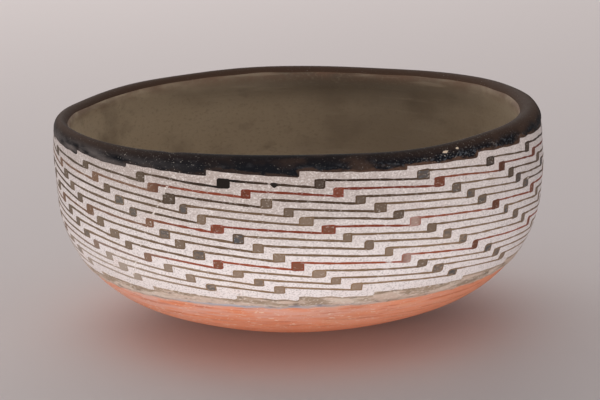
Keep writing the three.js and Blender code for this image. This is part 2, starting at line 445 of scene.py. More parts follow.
@dataclass
class BowlForm:
    """What every piece is measured from: the clay's section, its hand-made unevenness, pattern and coats.

    The crack starts at an angle on the lip and leans by an angle for each millimetre down.
    """

    section: ClaySection
    forming: HandForming = HandForming()
    pattern: Pattern = Pattern()
    rim_coil_depth: float = 12.0
    seam_climb: float = 5.0
    slip_thickness: float = 0.45
    slip_feather: float = 1.6
    slip_tuck: float = 0.3
    crack_top: float = math.radians(-26.9)
    crack_lean: float = math.radians(-0.31)
    crack_length: float = 52.0

    def row_place(self, row: int) -> float:
        """The place of a painted row."""
        return self.section.lip_start - self.pattern.band_outside - self.pattern.drop(row)

    @property
    def base_seam(self) -> float:
        """The place outside where the base meets the wall, under the lower edge of the border."""
        return self.row_place(self.pattern.border_row) - self.pattern.border_depth

    @property
    def rim_seam(self) -> float:
        """The place outside where the wall meets the rim coil."""
        return self.section.lip_start - self.rim_coil_depth

    @property
    def slip_edge(self) -> float:
        """The place inside the lip where the cream slip ends and the buff slip starts."""
        return self.section.lip_start + self.pattern.band_over

    def inner_seam(self, place: float) -> float:
        """The inside end of a bevelled seam, higher up the wall than its outside end."""
        return self.section.opposite(place) - self.seam_climb

    def ground(self, place: Array) -> Array:
        """The lift of the slip's top, which thins out to nothing at the slip's lower edge."""
        risen = smooth(self.base_seam - self.slip_tuck, self.base_seam + self.slip_feather, place)
        return self.slip_thickness * risen

    def points(self, angle: Array, place: Array, lift: Array | float) -> Array:
        """Finds points in space: the section's point, unevenly formed, turned to its angle.

        Args:
            angle: Angles round the bowl, one for each column.
            place: Distances along the section, for each corner or for each column and corner.
            lift: Lifts, shaped like the places.

        Returns:
            Positions in millimetres, by column and corner.
        """
        turned = angle[:, None]
        radius, height = self.section.point(np.broadcast_to(place, (len(angle), np.shape(place)[-1])), lift)
        radius, height = self.forming.move(self.section, turned, radius, height)
        return np.stack([radius * np.sin(turned), -radius * np.cos(turned), height], axis=-1)

    def crack(self, angle: Array, place: Array) -> Array:
        """Measures how far each place is from the hairline crack, which leans to the left as it goes down.

        Args:
            angle: Angles round the bowl, one for each column.
            place: Distances along the section, by column and corner.

        Returns:
            Millimetres from the crack, growing again below its end.
        """
        down = self.section.lip_start - place
        turned = (angle[:, None] + math.pi) % FULL_TURN - math.pi
        aside = (turned - self.crack_top - self.crack_lean * down) * self.section.rim_radius
        return np.hypot(aside, np.maximum(down - self.crack_length, 0.0))


@dataclass
class SurfaceGrid:
    """A closed surface on a grid of columns round the bowl and corners across, with values at its corners.

    A grid that is not closed across starts and ends on the axis, and its corners there become two poles.
    Map steps say how much of the texture's width each step across takes, less where a piece is hidden.
    """

    name: str
    angle: Array
    points: Array
    map_steps: Array
    closed: bool = True
    values: dict[str, Array] = field(default_factory=dict)
    margin: float = 0.03

    def faces(self) -> Array:
        """Joins each corner to the next column and the next corner.

        Returns:
            Four corner numbers for each face, in the order that makes it look outwards.
        """
        columns, corners = self.points.shape[:2]
        here = np.arange(columns * corners).reshape(columns, corners)
        beside = np.roll(here, -1, axis=0)
        quads = np.stack([here, beside, np.roll(beside, -1, axis=1), np.roll(here, -1, axis=1)], axis=-1)
        return quads[:, : len(self.map_steps)].reshape(-1, 4)

    def texture_map(self) -> Array:
        """Lays the surface out as strips: the way round is cut into lengths that are stacked into a square.

        Returns:
            Two texture coordinates for each corner of each face, in the order of the faces.
        """
        columns = len(self.angle)
        radius = np.hypot(self.points[..., 0], self.points[..., 1]).max()
        around = radius * np.append(self.angle, self.angle[0] + FULL_TURN)
        across = np.concatenate([[0.0], np.cumsum(self.map_steps)])
        strips = max(1, round(math.sqrt((around[-1] - around[0]) / across[-1])))
        cuts = np.linspace(0, columns, strips + 1).astype(int)
        strip = np.searchsorted(cuts, np.arange(columns), side="right") - 1
        longest = np.diff(around[cuts]).max()
        side = np.arange(columns)[:, None] + FACE_AROUND
        rise = np.arange(len(self.map_steps))[:, None] + FACE_ACROSS
        inset = self.margin / strips
        u = inset + (1 - 2 * inset) * (around[side] - around[cuts[strip]][:, None]) / longest
        v = self.margin + (1 - 2 * self.margin) * across[rise] / across[-1]
        u = np.broadcast_to(u[:, None, :], (columns, *rise.shape))
        v = (strip[:, None, None] + v[None]) / strips
        return np.stack([u, v], axis=-1).reshape(-1)

    def build(self) -> bpy.types.Object:
        """Makes the mesh and its object.

        Returns:
            The object, at the origin, with its place in its mesh.
        """
        mesh = bpy.data.meshes.new(self.name)
        mesh.from_pydata((self.points * MM).reshape(-1, 3), [], self.faces())
        mesh.uv_layers.new(name=MAP_NAME).data.foreach_set("uv", self.texture_map())
        shape = self.points.shape[:2]
        for name, value in self.values.items():
            vector = np.ndim(value) == 3
            layer = mesh.attributes.new(name, "FLOAT_VECTOR" if vector else "FLOAT", "POINT")
            full = np.broadcast_to(value, (*shape, 3) if vector else shape)
            layer.data.foreach_set("vector" if vector else "value", full.astype(np.float32).ravel())
        if not self.closed:
            self.close_poles(mesh)
        mesh.shade_smooth()
        mesh.set_sharp_from_angle(angle=SHARP_ANGLE)
        shell = bpy.data.objects.new(self.name, mesh)
        bpy.context.scene.collection.objects.link(shell)
        return shell

    def close_poles(self, mesh: bpy.types.Mesh) -> None:
        """Merges the corners that share a place on the axis.

        Args:
            mesh: The mesh to close.
        """
        work = bmesh.new()
        work.from_mesh(mesh)
        bmesh.ops.remove_doubles(work, verts=work.verts, dist=POLE_MERGE)
        work.to_mesh(mesh)
        work.free()


def lay_out(angle: Array, place: Array, form: BowlForm) -> Array:
    """Gives each corner its place in a pattern: x and y on the true bowl, and the distance along the section.

    Args:
        angle: Angles round the bowl, one for each column.
        place: Distances along the section, by column and corner.
        form: The bowl.

    Returns:
        Vectors in millimetres, by column and corner.
    """
    turned = angle[:, None]
    radius, _ = form.section.point(place)
    return np.stack([radius * np.sin(turned), -radius * np.cos(turned), place], axis=-1)


def put_up(shell: bpy.types.Object, node: str, material: bpy.types.Material) -> None:
    """Dresses a piece and sets it in the place of its solid.

    Args:
        shell: The piece.
        node: The solid that it stands for.
        material: Its finish.
    """
    shell.data.materials.append(material)
    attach(shell, BODY)
    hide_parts(node)
    LOG.info("%s stands for %s, %d faces", shell.name, node, len(shell.data.polygons))


def even_angles(count: int) -> Array:
    """Evenly spaced angles, once round the bowl from the back."""
    return np.linspace(-math.pi, math.pi, count, endpoint=False)


def linear(code: str) -> tuple[float, float, float, float]:
    """Turns an sRGB hex colour to the linear values that shaders take, along the sRGB curve.

    Args:
        code: A colour such as "#e9e0d6".

    Returns:
        Linear red, green and blue, and an alpha of 1.
    """
    share = np.array([*bytes.fromhex(code.lstrip("#"))]) / FULL_BYTE
    straight = share / SRGB_STRAIGHT_SLOPE
    curved = ((share + SRGB_SHIFT) / (1 + SRGB_SHIFT)) ** SRGB_POWER
    return (*np.where(share <= SRGB_STRAIGHT_END, straight, curved).tolist(), 1.0)


@dataclass(frozen=True)
class Blots:
    """An uneven mask: blots of a real size, seen where a noise rises from one level to another.

    The size is in millimetres along the section, and a blot is longer round the bowl by its stretch. Detail
    is how many finer layers the noise has. Shift moves the noise, so that two masks differ. Cover is the
    share of what lies below that a full blot hides.
    """

    size: float
    stretch: float = 1.0
    detail: float = 3.0
    shift: float = 0.0
    start: float = 0.5
    full: float = 0.7
    cover: float = 1.0


class Sheet:
    """The node tree of one material. Its masks run from 0 to 1 over the surface."""

    # The sockets of a colour mix, by number, because their names repeat
    MIX_FACTOR, MIX_UNDER, MIX_OVER, MIX_RESULT = 0, 6, 7, 2

    def __init__(self, name: str) -> None:
        """Starts an empty tree.

        Args:
            name: The material's name.
        """
        self.material = bpy.data.materials.new(name)
        self.material.use_nodes = True
        self.tree = self.material.node_tree
        self.tree.nodes.clear()
        self.lay = self.add("ShaderNodeAttribute", attribute_name=LAY).outputs["Vector"]

    def add(self, kind: str, sockets: dict[str | int, Any] | None = None, **settings: Any) -> bpy.types.Node:
        """Adds a node with its settings, values and links.

        Args:
            kind: The node's type.
            sockets: For each input, a value to set or an output to link.
            settings: The node's own properties.

        Returns:
            The node.
        """
        node = self.tree.nodes.new(kind)
        for name, value in settings.items():
            setattr(node, name, value)
        for name, value in (sockets or {}).items():
            if isinstance(value, Socket):
                self.tree.links.new(value, node.inputs[name])
            else:
                node.inputs[name].default_value = value
        return node

    def read(self, name: str) -> Socket:
        """Reads a value that the mesh holds at its corners."""
        return self.add("ShaderNodeAttribute", attribute_name=name).outputs["Fac"]

    def cloud(self, blots: Blots) -> Socket:
        """Makes an uneven value about 0.5: the noise that a mask of blots is cut from.

        Args:
            blots: The blots.

        Returns:
            The noise.
        """
        long = 1 / (blots.size * blots.stretch)
        placed = {"Vector": self.lay, "Location": (blots.shift,) * 3, "Scale": (long, long, 1 / blots.size)}
        vector = self.add("ShaderNodeMapping", placed).outputs[0]
        noise = {"Vector": vector, "Scale": 1.0, "Detail": blots.detail}
        return self.add("ShaderNodeTexNoise", noise).outputs[0]

    def fade(self, value: Socket, start: float, full: float, cover: float | Socket = 1.0) -> Socket:
        """Makes a mask that rises smoothly from 0 to its cover as a value goes from start to full."""
        ends = {"Value": value, "From Min": start, "From Max": full, "To Max": cover}
        return self.add("ShaderNodeMapRange", ends, interpolation_type="SMOOTHSTEP").outputs[0]

    def blots(self, blots: Blots, cover: Socket | None = None) -> Socket:
        """Makes a mask of blots, with their own cover or through another mask."""
        return self.fade(self.cloud(blots), blots.start, blots.full, blots.cover if cover is None else cover)

    def between(self, value: Socket, low: float, high: float) -> Socket:
        """Spreads a noise from 0 to 1 over the range from low to high."""
        return self.add("ShaderNodeMapRange", {"Value": value, "To Min": low, "To Max": high}).outputs[0]

    def ragged(self, value: Socket, blots: Blots, depth: float) -> Socket:
        """Adds the noise of blots, times a depth, to a value, so that a mask cut from it is ragged."""
        sockets = {0: self.cloud(blots), 1: depth, 2: value}
        return self.add("ShaderNodeMath", sockets, operation="MULTIPLY_ADD").outputs[0]

    def colours(self, ground: str | Socket, *coats: tuple[str | Socket, Socket]) -> Socket:
        """Lays colours over each other, each through its mask.

        Args:
            ground: The lowest colour, a hex value or another mix.
            coats: Colours and their masks, from below upwards.

        Returns:
            The mixed colour.
        """
        result = ground
        for colour, mask in coats:
            under = linear(result) if isinstance(result, str) else result
            over = linear(colour) if isinstance(colour, str) else colour
            sockets = {self.MIX_FACTOR: mask, self.MIX_UNDER: under, self.MIX_OVER: over}
            result = self.add("ShaderNodeMix", sockets, data_type="RGBA").outputs[self.MIX_RESULT]
        return result

    def relief(self, *reliefs: tuple[Socket, float]) -> Socket:
        """Stacks bumps.

        Args:
            reliefs: Values and the height, in millimetres, that a rise of 1 in each stands for.

        Returns:
            The bumped normal.
        """
        sockets: dict[str | int, Any] = {}
        for height, depth in reliefs:
            node = self.add("ShaderNodeBump", {**sockets, "Height": height, "Distance": depth * MM})
            sockets = {"Normal": node.outputs["Normal"]}
        return sockets["Normal"]

    def finish(self, **sockets: Any) -> bpy.types.Material:
        """Ends the tree in one shader.

        Args:
            sockets: The shader's inputs, with underscores for the spaces in their names.

        Returns:
            The material.
        """
        inputs = {name.replace("_", " "): value for name, value in sockets.items()}
        shader = self.add("ShaderNodeBsdfPrincipled", inputs)
        self.add("ShaderNodeOutputMaterial", {"Surface": shader.outputs[0]})
        return self.material


@dataclass(frozen=True)
class CreamSlip:
    """Cream slip, fine white clay brushed on and smoothed.

    It looks chalky and finely grained, with warm clouds and a hairline crack. A grey tint is painted shade
    over the upper wall, fading down it, with real dirt under the rim.
    """

    ground: str = "#ebe2e1"
    warm: str = "#ded1cb"
    warm_clouds: Blots = Blots(34.0, 2.0, shift=1.0, start=0.42, full=0.72, cover=0.6)
    pink: str = "#e3cfc8"
    pink_smudges: Blots = Blots(11.0, 1.5, shift=5.0, start=0.56, full=0.74, cover=0.5)
    # Dirt under the rim, and painted shade that darkens the upper wall, both shown through patches
    grime_and_shade: str = "#a4968f"
    grime_and_shade_patches: Blots = Blots(7.0, 2.5, detail=4.0, shift=2.0, start=0.05, full=0.45)
    # Both grains are drawn coarser than the real ones, which are well under 0.3 mm, so that they show
    grain: str = "#83766f"
    grains: Blots = Blots(0.6, 1.3, start=0.46, full=0.7, cover=0.5)
    pale_grain: str = "#f3ece9"
    pale_grains: Blots = Blots(0.7, 1.3, shift=14.0, start=0.46, full=0.68, cover=0.4)
    grain_height: float = 0.05
    speck: str = "#5d4e42"
    specks: Blots = Blots(0.8, detail=1.0, shift=7.0, start=0.78, full=0.81, cover=0.8)
    brushing: Blots = Blots(1.6, 9.0, detail=2.0, shift=3.1)
    brushing_height: float = 0.04
    crack: str = "#8a7766"
    crack_wander: Blots = Blots(3.0, shift=8.0)
    crack_sway: float = 2.2
    crack_start: float = 1.42
    crack_full: float = 1.2
    crack_cover: float = 0.5
    chip: str = "#f3efe9"
    chips: Blots = Blots(1.6, detail=2.0, shift=4.0, start=0.6, full=0.66)
    chip_reach: float = 1.4
    smooth_roughness: float = 0.58
    coarse_roughness: float = 0.8
    ior: float = 1.45

    def dress(self) -> bpy.types.Material:
        """Builds the material: clouds, smudges, dirt and painted shade, pale and dark grains, specks, crack
        and chips.

        Returns:
            The material.
        """
        sheet = Sheet("cream_slip_smoothed")
        grains = sheet.cloud(self.grains)
        gap = sheet.read("crack")
        swaying = sheet.ragged(gap, self.crack_wander, self.crack_sway)
        colour = sheet.colours(
            self.ground,
            (self.warm, sheet.blots(self.warm_clouds)),
            (self.pink, sheet.blots(self.pink_smudges)),
            (self.grime_and_shade, sheet.blots(self.grime_and_shade_patches, sheet.read("grime_and_shade"))),
            (self.pale_grain, sheet.blots(self.pale_grains)),
            (self.grain, sheet.blots(self.grains)),
            (self.speck, sheet.blots(self.specks)),
            (self.crack, sheet.fade(swaying, self.crack_start, self.crack_full, self.crack_cover)),
            (self.chip, sheet.blots(self.chips, sheet.fade(gap, self.chip_reach, 0.0))),
        )
        brushing = sheet.cloud(self.brushing)
        normal = sheet.relief((grains, self.grain_height), (brushing, self.brushing_height))
        roughness = sheet.between(grains, self.smooth_roughness, self.coarse_roughness)
        return sheet.finish(Base_Color=colour, Roughness=roughness, IOR=self.ior, Normal=normal)


@dataclass(frozen=True)
class BuffSlip:
    """Buff slip inside, wiped smooth and stained by use.

    It looks greyish buff with dull brown smudges. One side is lighter, as painted light, and another darker,
    as painted shade. Under the lip it is darker with dirt from hands and painted shade.
    """

    ground: str = "#a6947c"
    pale: str = "#af9f88"
    pale_clouds: Blots = Blots(45.0, 1.5, shift=1.0, start=0.45, full=0.7, cover=0.7)
    stain: str = "#8c7b66"
    stains: Blots = Blots(24.0, 1.3, detail=4.0, shift=4.0, start=0.48, full=0.72, cover=0.7)
    smudge: str = "#66584a"
    smudges: Blots = Blots(9.0, 1.4, detail=4.0, shift=6.0, start=0.58, full=0.78, cover=0.3)
    rust: str = "#6b4d3a"
    rust_patches: Blots = Blots(6.0, 2.0, detail=4.0, shift=9.0, start=0.2, full=0.6)
    rust_reach: float = 7.0
    rust_cover: float = 0.8
    painted_lit_side: str = "#bba88d"
    # Dirt from hands and painted shade under the lip, darkest at the back of the inside
    handling_and_shade: str = "#4f4235"
    handling_and_shade_reach: float = 20.0
    wiping: Blots = Blots(3.0, 10.0, shift=2.0, start=0.55, full=0.75, cover=0.3)
    wiping_height: float = 0.08
    # Drawn coarser than the real grain, so that it shows
    grain: str = "#83745f"
    grains: Blots = Blots(1.1, 1.5, start=0.5, full=0.75, cover=0.4)
    grain_height: float = 0.06
    roughness: float = 0.72
    ior: float = 1.45

    def dress(self) -> bpy.types.Material:
        """Builds the material: clouds, painted light and painted shade on two sides, stains, dirt, painted
        shade and rust by the rim, wiped.

        Returns:
            The material.
        """
        sheet = Sheet("buff_slip_wiped")
        edge = sheet.read("edge")
        # Dirt from hands and painted shade, under the lip
        handled_and_shaded = sheet.fade(edge, self.handling_and_shade_reach, 0.0, sheet.read("handled_and_shaded"))
        by_rim = sheet.fade(edge, self.rust_reach, 0.0, self.rust_cover)
        colour = sheet.colours(
            self.ground,
            (self.pale, sheet.blots(self.pale_clouds)),
            # Painted light on the left side
            (self.painted_lit_side, sheet.read("painted_lit_side")),
            (self.stain, sheet.blots(self.stains)),
            # Painted shade on the right side, in the smudge colour
            (self.smudge, sheet.read("painted_shade_side")),
            (self.handling_and_shade, handled_and_shaded),
            (self.smudge, sheet.blots(self.smudges)),
            (self.rust, sheet.blots(self.rust_patches, by_rim)),
            (self.pale, sheet.blots(self.wiping)),
            (self.grain, sheet.blots(self.grains)),
        )
        grains, wiping = sheet.cloud(self.grains), sheet.cloud(self.wiping)
        normal = sheet.relief((grains, self.grain_height), (wiping, self.wiping_height))
        return sheet.finish(Base_Color=colour, Roughness=self.roughness, IOR=self.ior, Normal=normal)


@dataclass(frozen=True)
class BurnishedClay:
    """Red earthenware, rubbed to a low shine with a stone: streaks run round it, with pale worn flecks."""

    ground: str = "#ec946c"
    deep: str = "#d97f57"
    deep_clouds: Blots = Blots(30.0, 1.5, shift=1.0, start=0.42, full=0.72, cover=0.7)
    smoke: str = "#8c5745"
    smoke_clouds: Blots = Blots(42.0, 1.4, detail=4.0, shift=11.0, start=0.6, full=0.8, cover=0.5)
    haze: str = "#e0b2a4"
    haze_patches: Blots = Blots(3.0, 6.0, detail=4.0, shift=8.0, start=0.3, full=0.62)
    haze_reach: float = 30.0
    bright: str = "#e5a27d"
    streaks: Blots = Blots(1.3, 12.0, shift=2.0, start=0.5, full=0.72, cover=0.65)
    streak_height: float = 0.05
    furrow: str = "#bf6440"
    furrows: Blots = Blots(1.7, 9.0, detail=4.0, shift=5.0, start=0.5, full=0.7, cover=0.65)
    fleck: str = "#efd3be"
    flecks: Blots = Blots(0.9, 3.4, detail=2.0, shift=4.0, start=0.62, full=0.69)
    worn_patches: Blots = Blots(20.0, 2.0, shift=3.0, start=0.34, full=0.6)
    dots: Blots = Blots(0.8, 1.3, detail=1.0, shift=9.0, start=0.7, full=0.75, cover=0.8)
    fine: Blots = Blots(0.8, 5.0, detail=2.0, shift=6.0)
    fine_height: float = 0.03
    dust: str = "#d7b49d"
    dust_patches: Blots = Blots(5.0, detail=4.0, shift=7.0, start=0.35, full=0.7)
    shiny_roughness: float = 0.42
    dull_roughness: float = 0.62
    ior: float = 1.5

    def dress(self) -> bpy.types.Material:
        """Builds the material: slow shifts of red, a pale haze above, streaks, flecks and a dulled foot.

        Returns:
            The material.
        """
        sheet = Sheet("red_earthenware_burnished")
        streaks = sheet.cloud(self.streaks)
        hazy = sheet.fade(sheet.read("below"), self.haze_reach, 0.0, sheet.read("hazed"))
        colour = sheet.colours(
            self.ground,
            (self.deep, sheet.blots(self.deep_clouds)),
            (self.smoke, sheet.blots(self.smoke_clouds)),
            (self.haze, sheet.blots(self.haze_patches, hazy)),
            (self.bright, sheet.blots(self.streaks)),
            (self.furrow, sheet.blots(self.furrows)),
            (self.fleck, sheet.blots(self.flecks, sheet.blots(self.worn_patches))),
            (self.fleck, sheet.blots(self.dots)),
            (self.dust, sheet.blots(self.dust_patches, sheet.read("foot"))),
        )
        fine = sheet.cloud(self.fine)
        normal = sheet.relief((streaks, self.streak_height), (fine, self.fine_height))
        roughness = sheet.between(streaks, self.shiny_roughness, self.dull_roughness)
        return sheet.finish(Base_Color=colour, Roughness=roughness, IOR=self.ior, Normal=normal)


@dataclass(frozen=True)
class BodyClay:
    """Plain fired earthenware under the coats: dull orange-brown, with grit."""

    ground: str = "#b37354"
    pale: str = "#c99a7d"
    pale_clouds: Blots = Blots(12.0, shift=1.0, start=0.5, full=0.75, cover=0.6)
    grit: str = "#8f5a41"
    grits: Blots = Blots(1.0, start=0.55, full=0.7, cover=0.7)
    grit_height: float = 0.08
    roughness: float = 0.85
    ior: float = 1.5

    def dress(self) -> bpy.types.Material:
        """Builds the material: grit of about 1 mm in a slightly clouded clay.

        Returns:
            The material.
        """
        sheet = Sheet("earthenware_plain")
        colour = sheet.colours(
            self.ground,
            (self.pale, sheet.blots(self.pale_clouds)),
            (self.grit, sheet.blots(self.grits)),
        )
        normal = sheet.relief((sheet.cloud(self.grits), self.grit_height))
        return sheet.finish(Base_Color=colour, Roughness=self.roughness, IOR=self.ior, Normal=normal)


@dataclass(frozen=True)
class RimPaint:
    """Iron-black slip paint, burnished over the lip: blue-black outside, browner on top, flecked."""

    ground: str = "#101115"
    lip: str = "#46352b"
    brown: str = "#43332a"
    rubbed: Blots = Blots(7.0, 2.2, detail=4.0, shift=1.0, start=0.48, full=0.68)
    grey: str = "#343335"
    scuffs: Blots = Blots(1.8, 2.5, detail=4.0, shift=2.0, start=0.54, full=0.76, cover=0.5)
    scuff_height: float = 0.03
    pepper: str = "#62666c"
    peppering: Blots = Blots(0.9, 1.4, detail=2.0, shift=7.0, start=0.5, full=0.7)
    # A grey painted sheen on the outside of the band, at the left
    sheen_grey: str = "#6d6562"
    sheen_patches: Blots = Blots(3.0, 4.0, detail=4.0, shift=6.0, start=0.3, full=0.65)
    outline: str = "#523d31"
    outline_edge: Blots = Blots(2.4, 2.0, shift=11.0)
    outline_raggedness: float = -5.0
    outline_far: float = -0.8
    outline_near: float = -1.9
    inner_reach: float = 1.4
    inner_cover: float = 0.45
    # Drawn coarser than the real flecks of bare grain, so that they show
    fleck: str = "#989189"
    flecks: Blots = Blots(0.5, 1.5, detail=1.0, shift=3.0, start=0.68, full=0.74)
    few_flecks: Blots = Blots(0.6, 1.6, detail=1.0, shift=5.0, start=0.74, full=0.78, cover=0.45)
    bare: str = "#c3b09a"
    chip_edge: Blots = Blots(0.9, 1.6, shift=8.0)
    chip_raggedness: float = 0.9
    chip_start: float = 0.98
    chip_full: float = 1.06
    shiny_roughness: float = 0.55
    dull_roughness: float = 0.78
    specular: float = 0.05
    ior: float = 1.4

    def dress(self) -> bpy.types.Material:
        """Builds the material: scuffs, a browner lip, rubbed patches, a painted sheen, brown edges, flecks,
        chips.

        Returns:
            The material.
        """
        sheet = Sheet("iron_black_paint_burnished")
        worn = sheet.read("worn")
        scuffs = sheet.cloud(self.scuffs)
        chipped = sheet.ragged(sheet.read("chip"), self.chip_edge, self.chip_raggedness)
        hem = sheet.ragged(sheet.read("edge"), self.outline_edge, self.outline_raggedness)
        colour = sheet.colours(
            self.ground,
            (self.grey, sheet.blots(self.scuffs)),
            (self.pepper, sheet.blots(self.peppering, sheet.read("peppered"))),
            (self.lip, sheet.read("lip")),
            (self.brown, sheet.blots(self.rubbed, worn)),
            # Painted sheen
            (self.sheen_grey, sheet.blots(self.sheen_patches, sheet.read("painted_sheen"))),
            (self.outline, sheet.fade(hem, self.outline_far, self.outline_near, worn)),
            (self.outline, sheet.fade(sheet.read("inner"), self.inner_reach, 0.0, self.inner_cover)),
            (self.fleck, sheet.blots(self.flecks, sheet.read("flecked"))),
            (self.fleck, sheet.blots(self.few_flecks)),
            (self.bare, sheet.fade(chipped, self.chip_start, self.chip_full)),
        )
        roughness = sheet.between(scuffs, self.shiny_roughness, self.dull_roughness)
        normal = sheet.relief((scuffs, self.scuff_height))
        shine = {"Roughness": roughness, "Specular_IOR_Level": self.specular, "IOR": self.ior}
        return sheet.finish(Base_Color=colour, Normal=normal, **shine)


@dataclass(frozen=True)
class BorderPaint:
    """Thin grey-brown slip paint, worn by handling: patchy, bluish along its foot, with clay showing."""

    ground: str = "#cbb4a5"
    olive: str = "#937f6a"
    olive_patches: Blots = Blots(2.6, 4.0, detail=4.0, shift=5.0, start=0.46, full=0.64, cover=0.85)
    outline_far: float = 1.3
    outline_near: float = 0.5
    outline_cover: float = 0.8
    pale: str = "#d5c6b7"
    worn_patches: Blots = Blots(4.0, 4.0, detail=4.0, shift=1.0, start=0.5, full=0.66, cover=0.65)
    dark: str = "#6c5f57"
    dark_blotches: Blots = Blots(1.5, 3.0, detail=4.0, shift=12.0, start=0.56, full=0.68, cover=0.6)
    blue: str = "#b4b6c3"
    deep_blue: str = "#767d8c"
    blue_streaks: Blots = Blots(1.4, 9.0, shift=3.0, start=0.36, full=0.54)
    blue_blotches: Blots = Blots(1.8, 4.0, shift=15.0, start=0.58, full=0.66)
    blue_low: float = 3.2
    blue_full: float = 1.8
    peach: str = "#dcae98"
    peach_wear: Blots = Blots(1.2, 3.0, shift=7.0, start=0.3, full=0.6)
    peach_reach: float = 2.0
    # Drawn coarser than the real grain, so that it shows
    grain: str = "#e0d3c8"
    grains: Blots = Blots(0.8, 1.8, start=0.52, full=0.7, cover=0.7)
    grain_height: float = 0.06
    roughness: float = 0.68
    ior: float = 1.45

    def dress(self) -> bpy.types.Material:
        """Builds the material: worn patches, an olive outline, blotches, bluish streaks and a peach foot.

        Returns:
            The material.
        """
        sheet = Sheet("grey_brown_paint_worn")
        hem = sheet.read("hem")
        along_foot = sheet.fade(hem, self.blue_low, self.blue_full, sheet.read("bluish"))
        along_top = sheet.fade(sheet.read("edge"), self.outline_far, self.outline_near, self.outline_cover)
        colour = sheet.colours(
            self.ground,
            (self.pale, sheet.blots(self.worn_patches)),
            (self.olive, sheet.blots(self.olive_patches)),
            (self.olive, along_top),
            (self.dark, sheet.blots(self.dark_blotches)),
            (self.grain, sheet.blots(self.grains)),
            (self.blue, sheet.blots(self.blue_streaks, along_foot)),
            (self.deep_blue, sheet.blots(self.blue_blotches, along_foot)),
            (self.peach, sheet.blots(self.peach_wear, sheet.fade(hem, self.peach_reach, 0.0))),
        )
        normal = sheet.relief((sheet.cloud(self.grains), self.grain_height))
        return sheet.finish(Base_Color=colour, Roughness=self.roughness, IOR=self.ior, Normal=normal)


@dataclass(frozen=True)
class LinePaint:
    """Slip paint from a fine brush: a dark outline, filled in thinner, with the slip's grain showing.

    Lines and fills run from dark to pale by a tone that the mesh holds, darker towards the rim partly as
    painted shade. Some blocks have an odd centre.
    """

    name: str
    dark_line: str
    pale_line: str
    dark_fill: str
    pale_fill: str
    centre: str
    aged: str
    aged_cover: float
    # Blackens dark brush marks, and paints shade on the right of some red lines
    ink: str = "#150e0a"
    centre_blots: Blots = Blots(1.3, 2.0, shift=4.0, start=0.34, full=0.6)
    fill_start: float = 0.2
    fill_full: float = 0.9
    # Drawn coarser than the real grain of the slip, so that it shows
    ground: str = "#e4d9d1"
    grains: Blots = Blots(0.7, 1.5, shift=1.0, start=0.56, full=0.78, cover=0.4)
    grain_height: float = 0.04
    wear: Blots = Blots(2.0, 2.5, shift=9.0, start=0.71, full=0.76, cover=0.75)
    chips: Blots = Blots(1.5, detail=2.0, shift=6.0, start=0.5, full=0.58)
    chip_reach: float = 0.9
    chip_cover: float = 0.9
    roughness: float = 0.62
    specular: float = 0.15
    ior: float = 1.45

    def dress(self) -> bpy.types.Material:
        """Builds the material: lines and fills, ageing, fading, grains, blackening, some of it painted shade,
        wear and chips by the crack.

        Returns:
            The material.
        """
        sheet = Sheet(self.name)
        tone = sheet.read("tone")
        line = sheet.colours(self.dark_line, (self.pale_line, tone))
        fill = sheet.colours(
            self.dark_fill,
            (self.pale_fill, tone),
            (self.centre, sheet.blots(self.centre_blots, sheet.read("odd"))),
        )
        by_crack = sheet.fade(sheet.read("crack"), self.chip_reach, 0.0, self.chip_cover)
        colour = sheet.colours(
            line,
            (fill, sheet.fade(sheet.read("fill"), self.fill_start, self.fill_full)),
            (self.aged, sheet.fade(sheet.read("aged"), 0.0, 1.0, self.aged_cover)),
            (self.ground, sheet.read("faded")),
            (self.ground, sheet.blots(self.grains)),
            (self.ink, sheet.read("ink")),
            (self.ground, sheet.blots(self.wear)),
            (self.ground, sheet.blots(self.chips, by_crack)),
        )
        normal = sheet.relief((sheet.cloud(self.grains), self.grain_height))
        shine = {"Roughness": self.roughness, "Specular_IOR_Level": self.specular, "IOR": self.ior}
        return sheet.finish(Base_Color=colour, Normal=normal, **shine)


BROWN_LINE_PAINT = LinePaint(
    name="brown_paint_brushed",
    dark_line="#2b1b0f",
    pale_line="#8d735a",
    dark_fill="#3d3129",
    pale_fill="#968170",
    centre="#4b4b4e",
    aged="#7d6e5c",
    aged_cover=0.3,
)
RED_LINE_PAINT = LinePaint(
    name="red_paint_brushed",
    dark_line="#5a1f12",
    pale_line="#9a4f35",
    dark_fill="#4c2419",
    pale_fill="#94624d",
    centre="#6b2c1c",
    aged="#745a48",
    aged_cover=1.0,
)


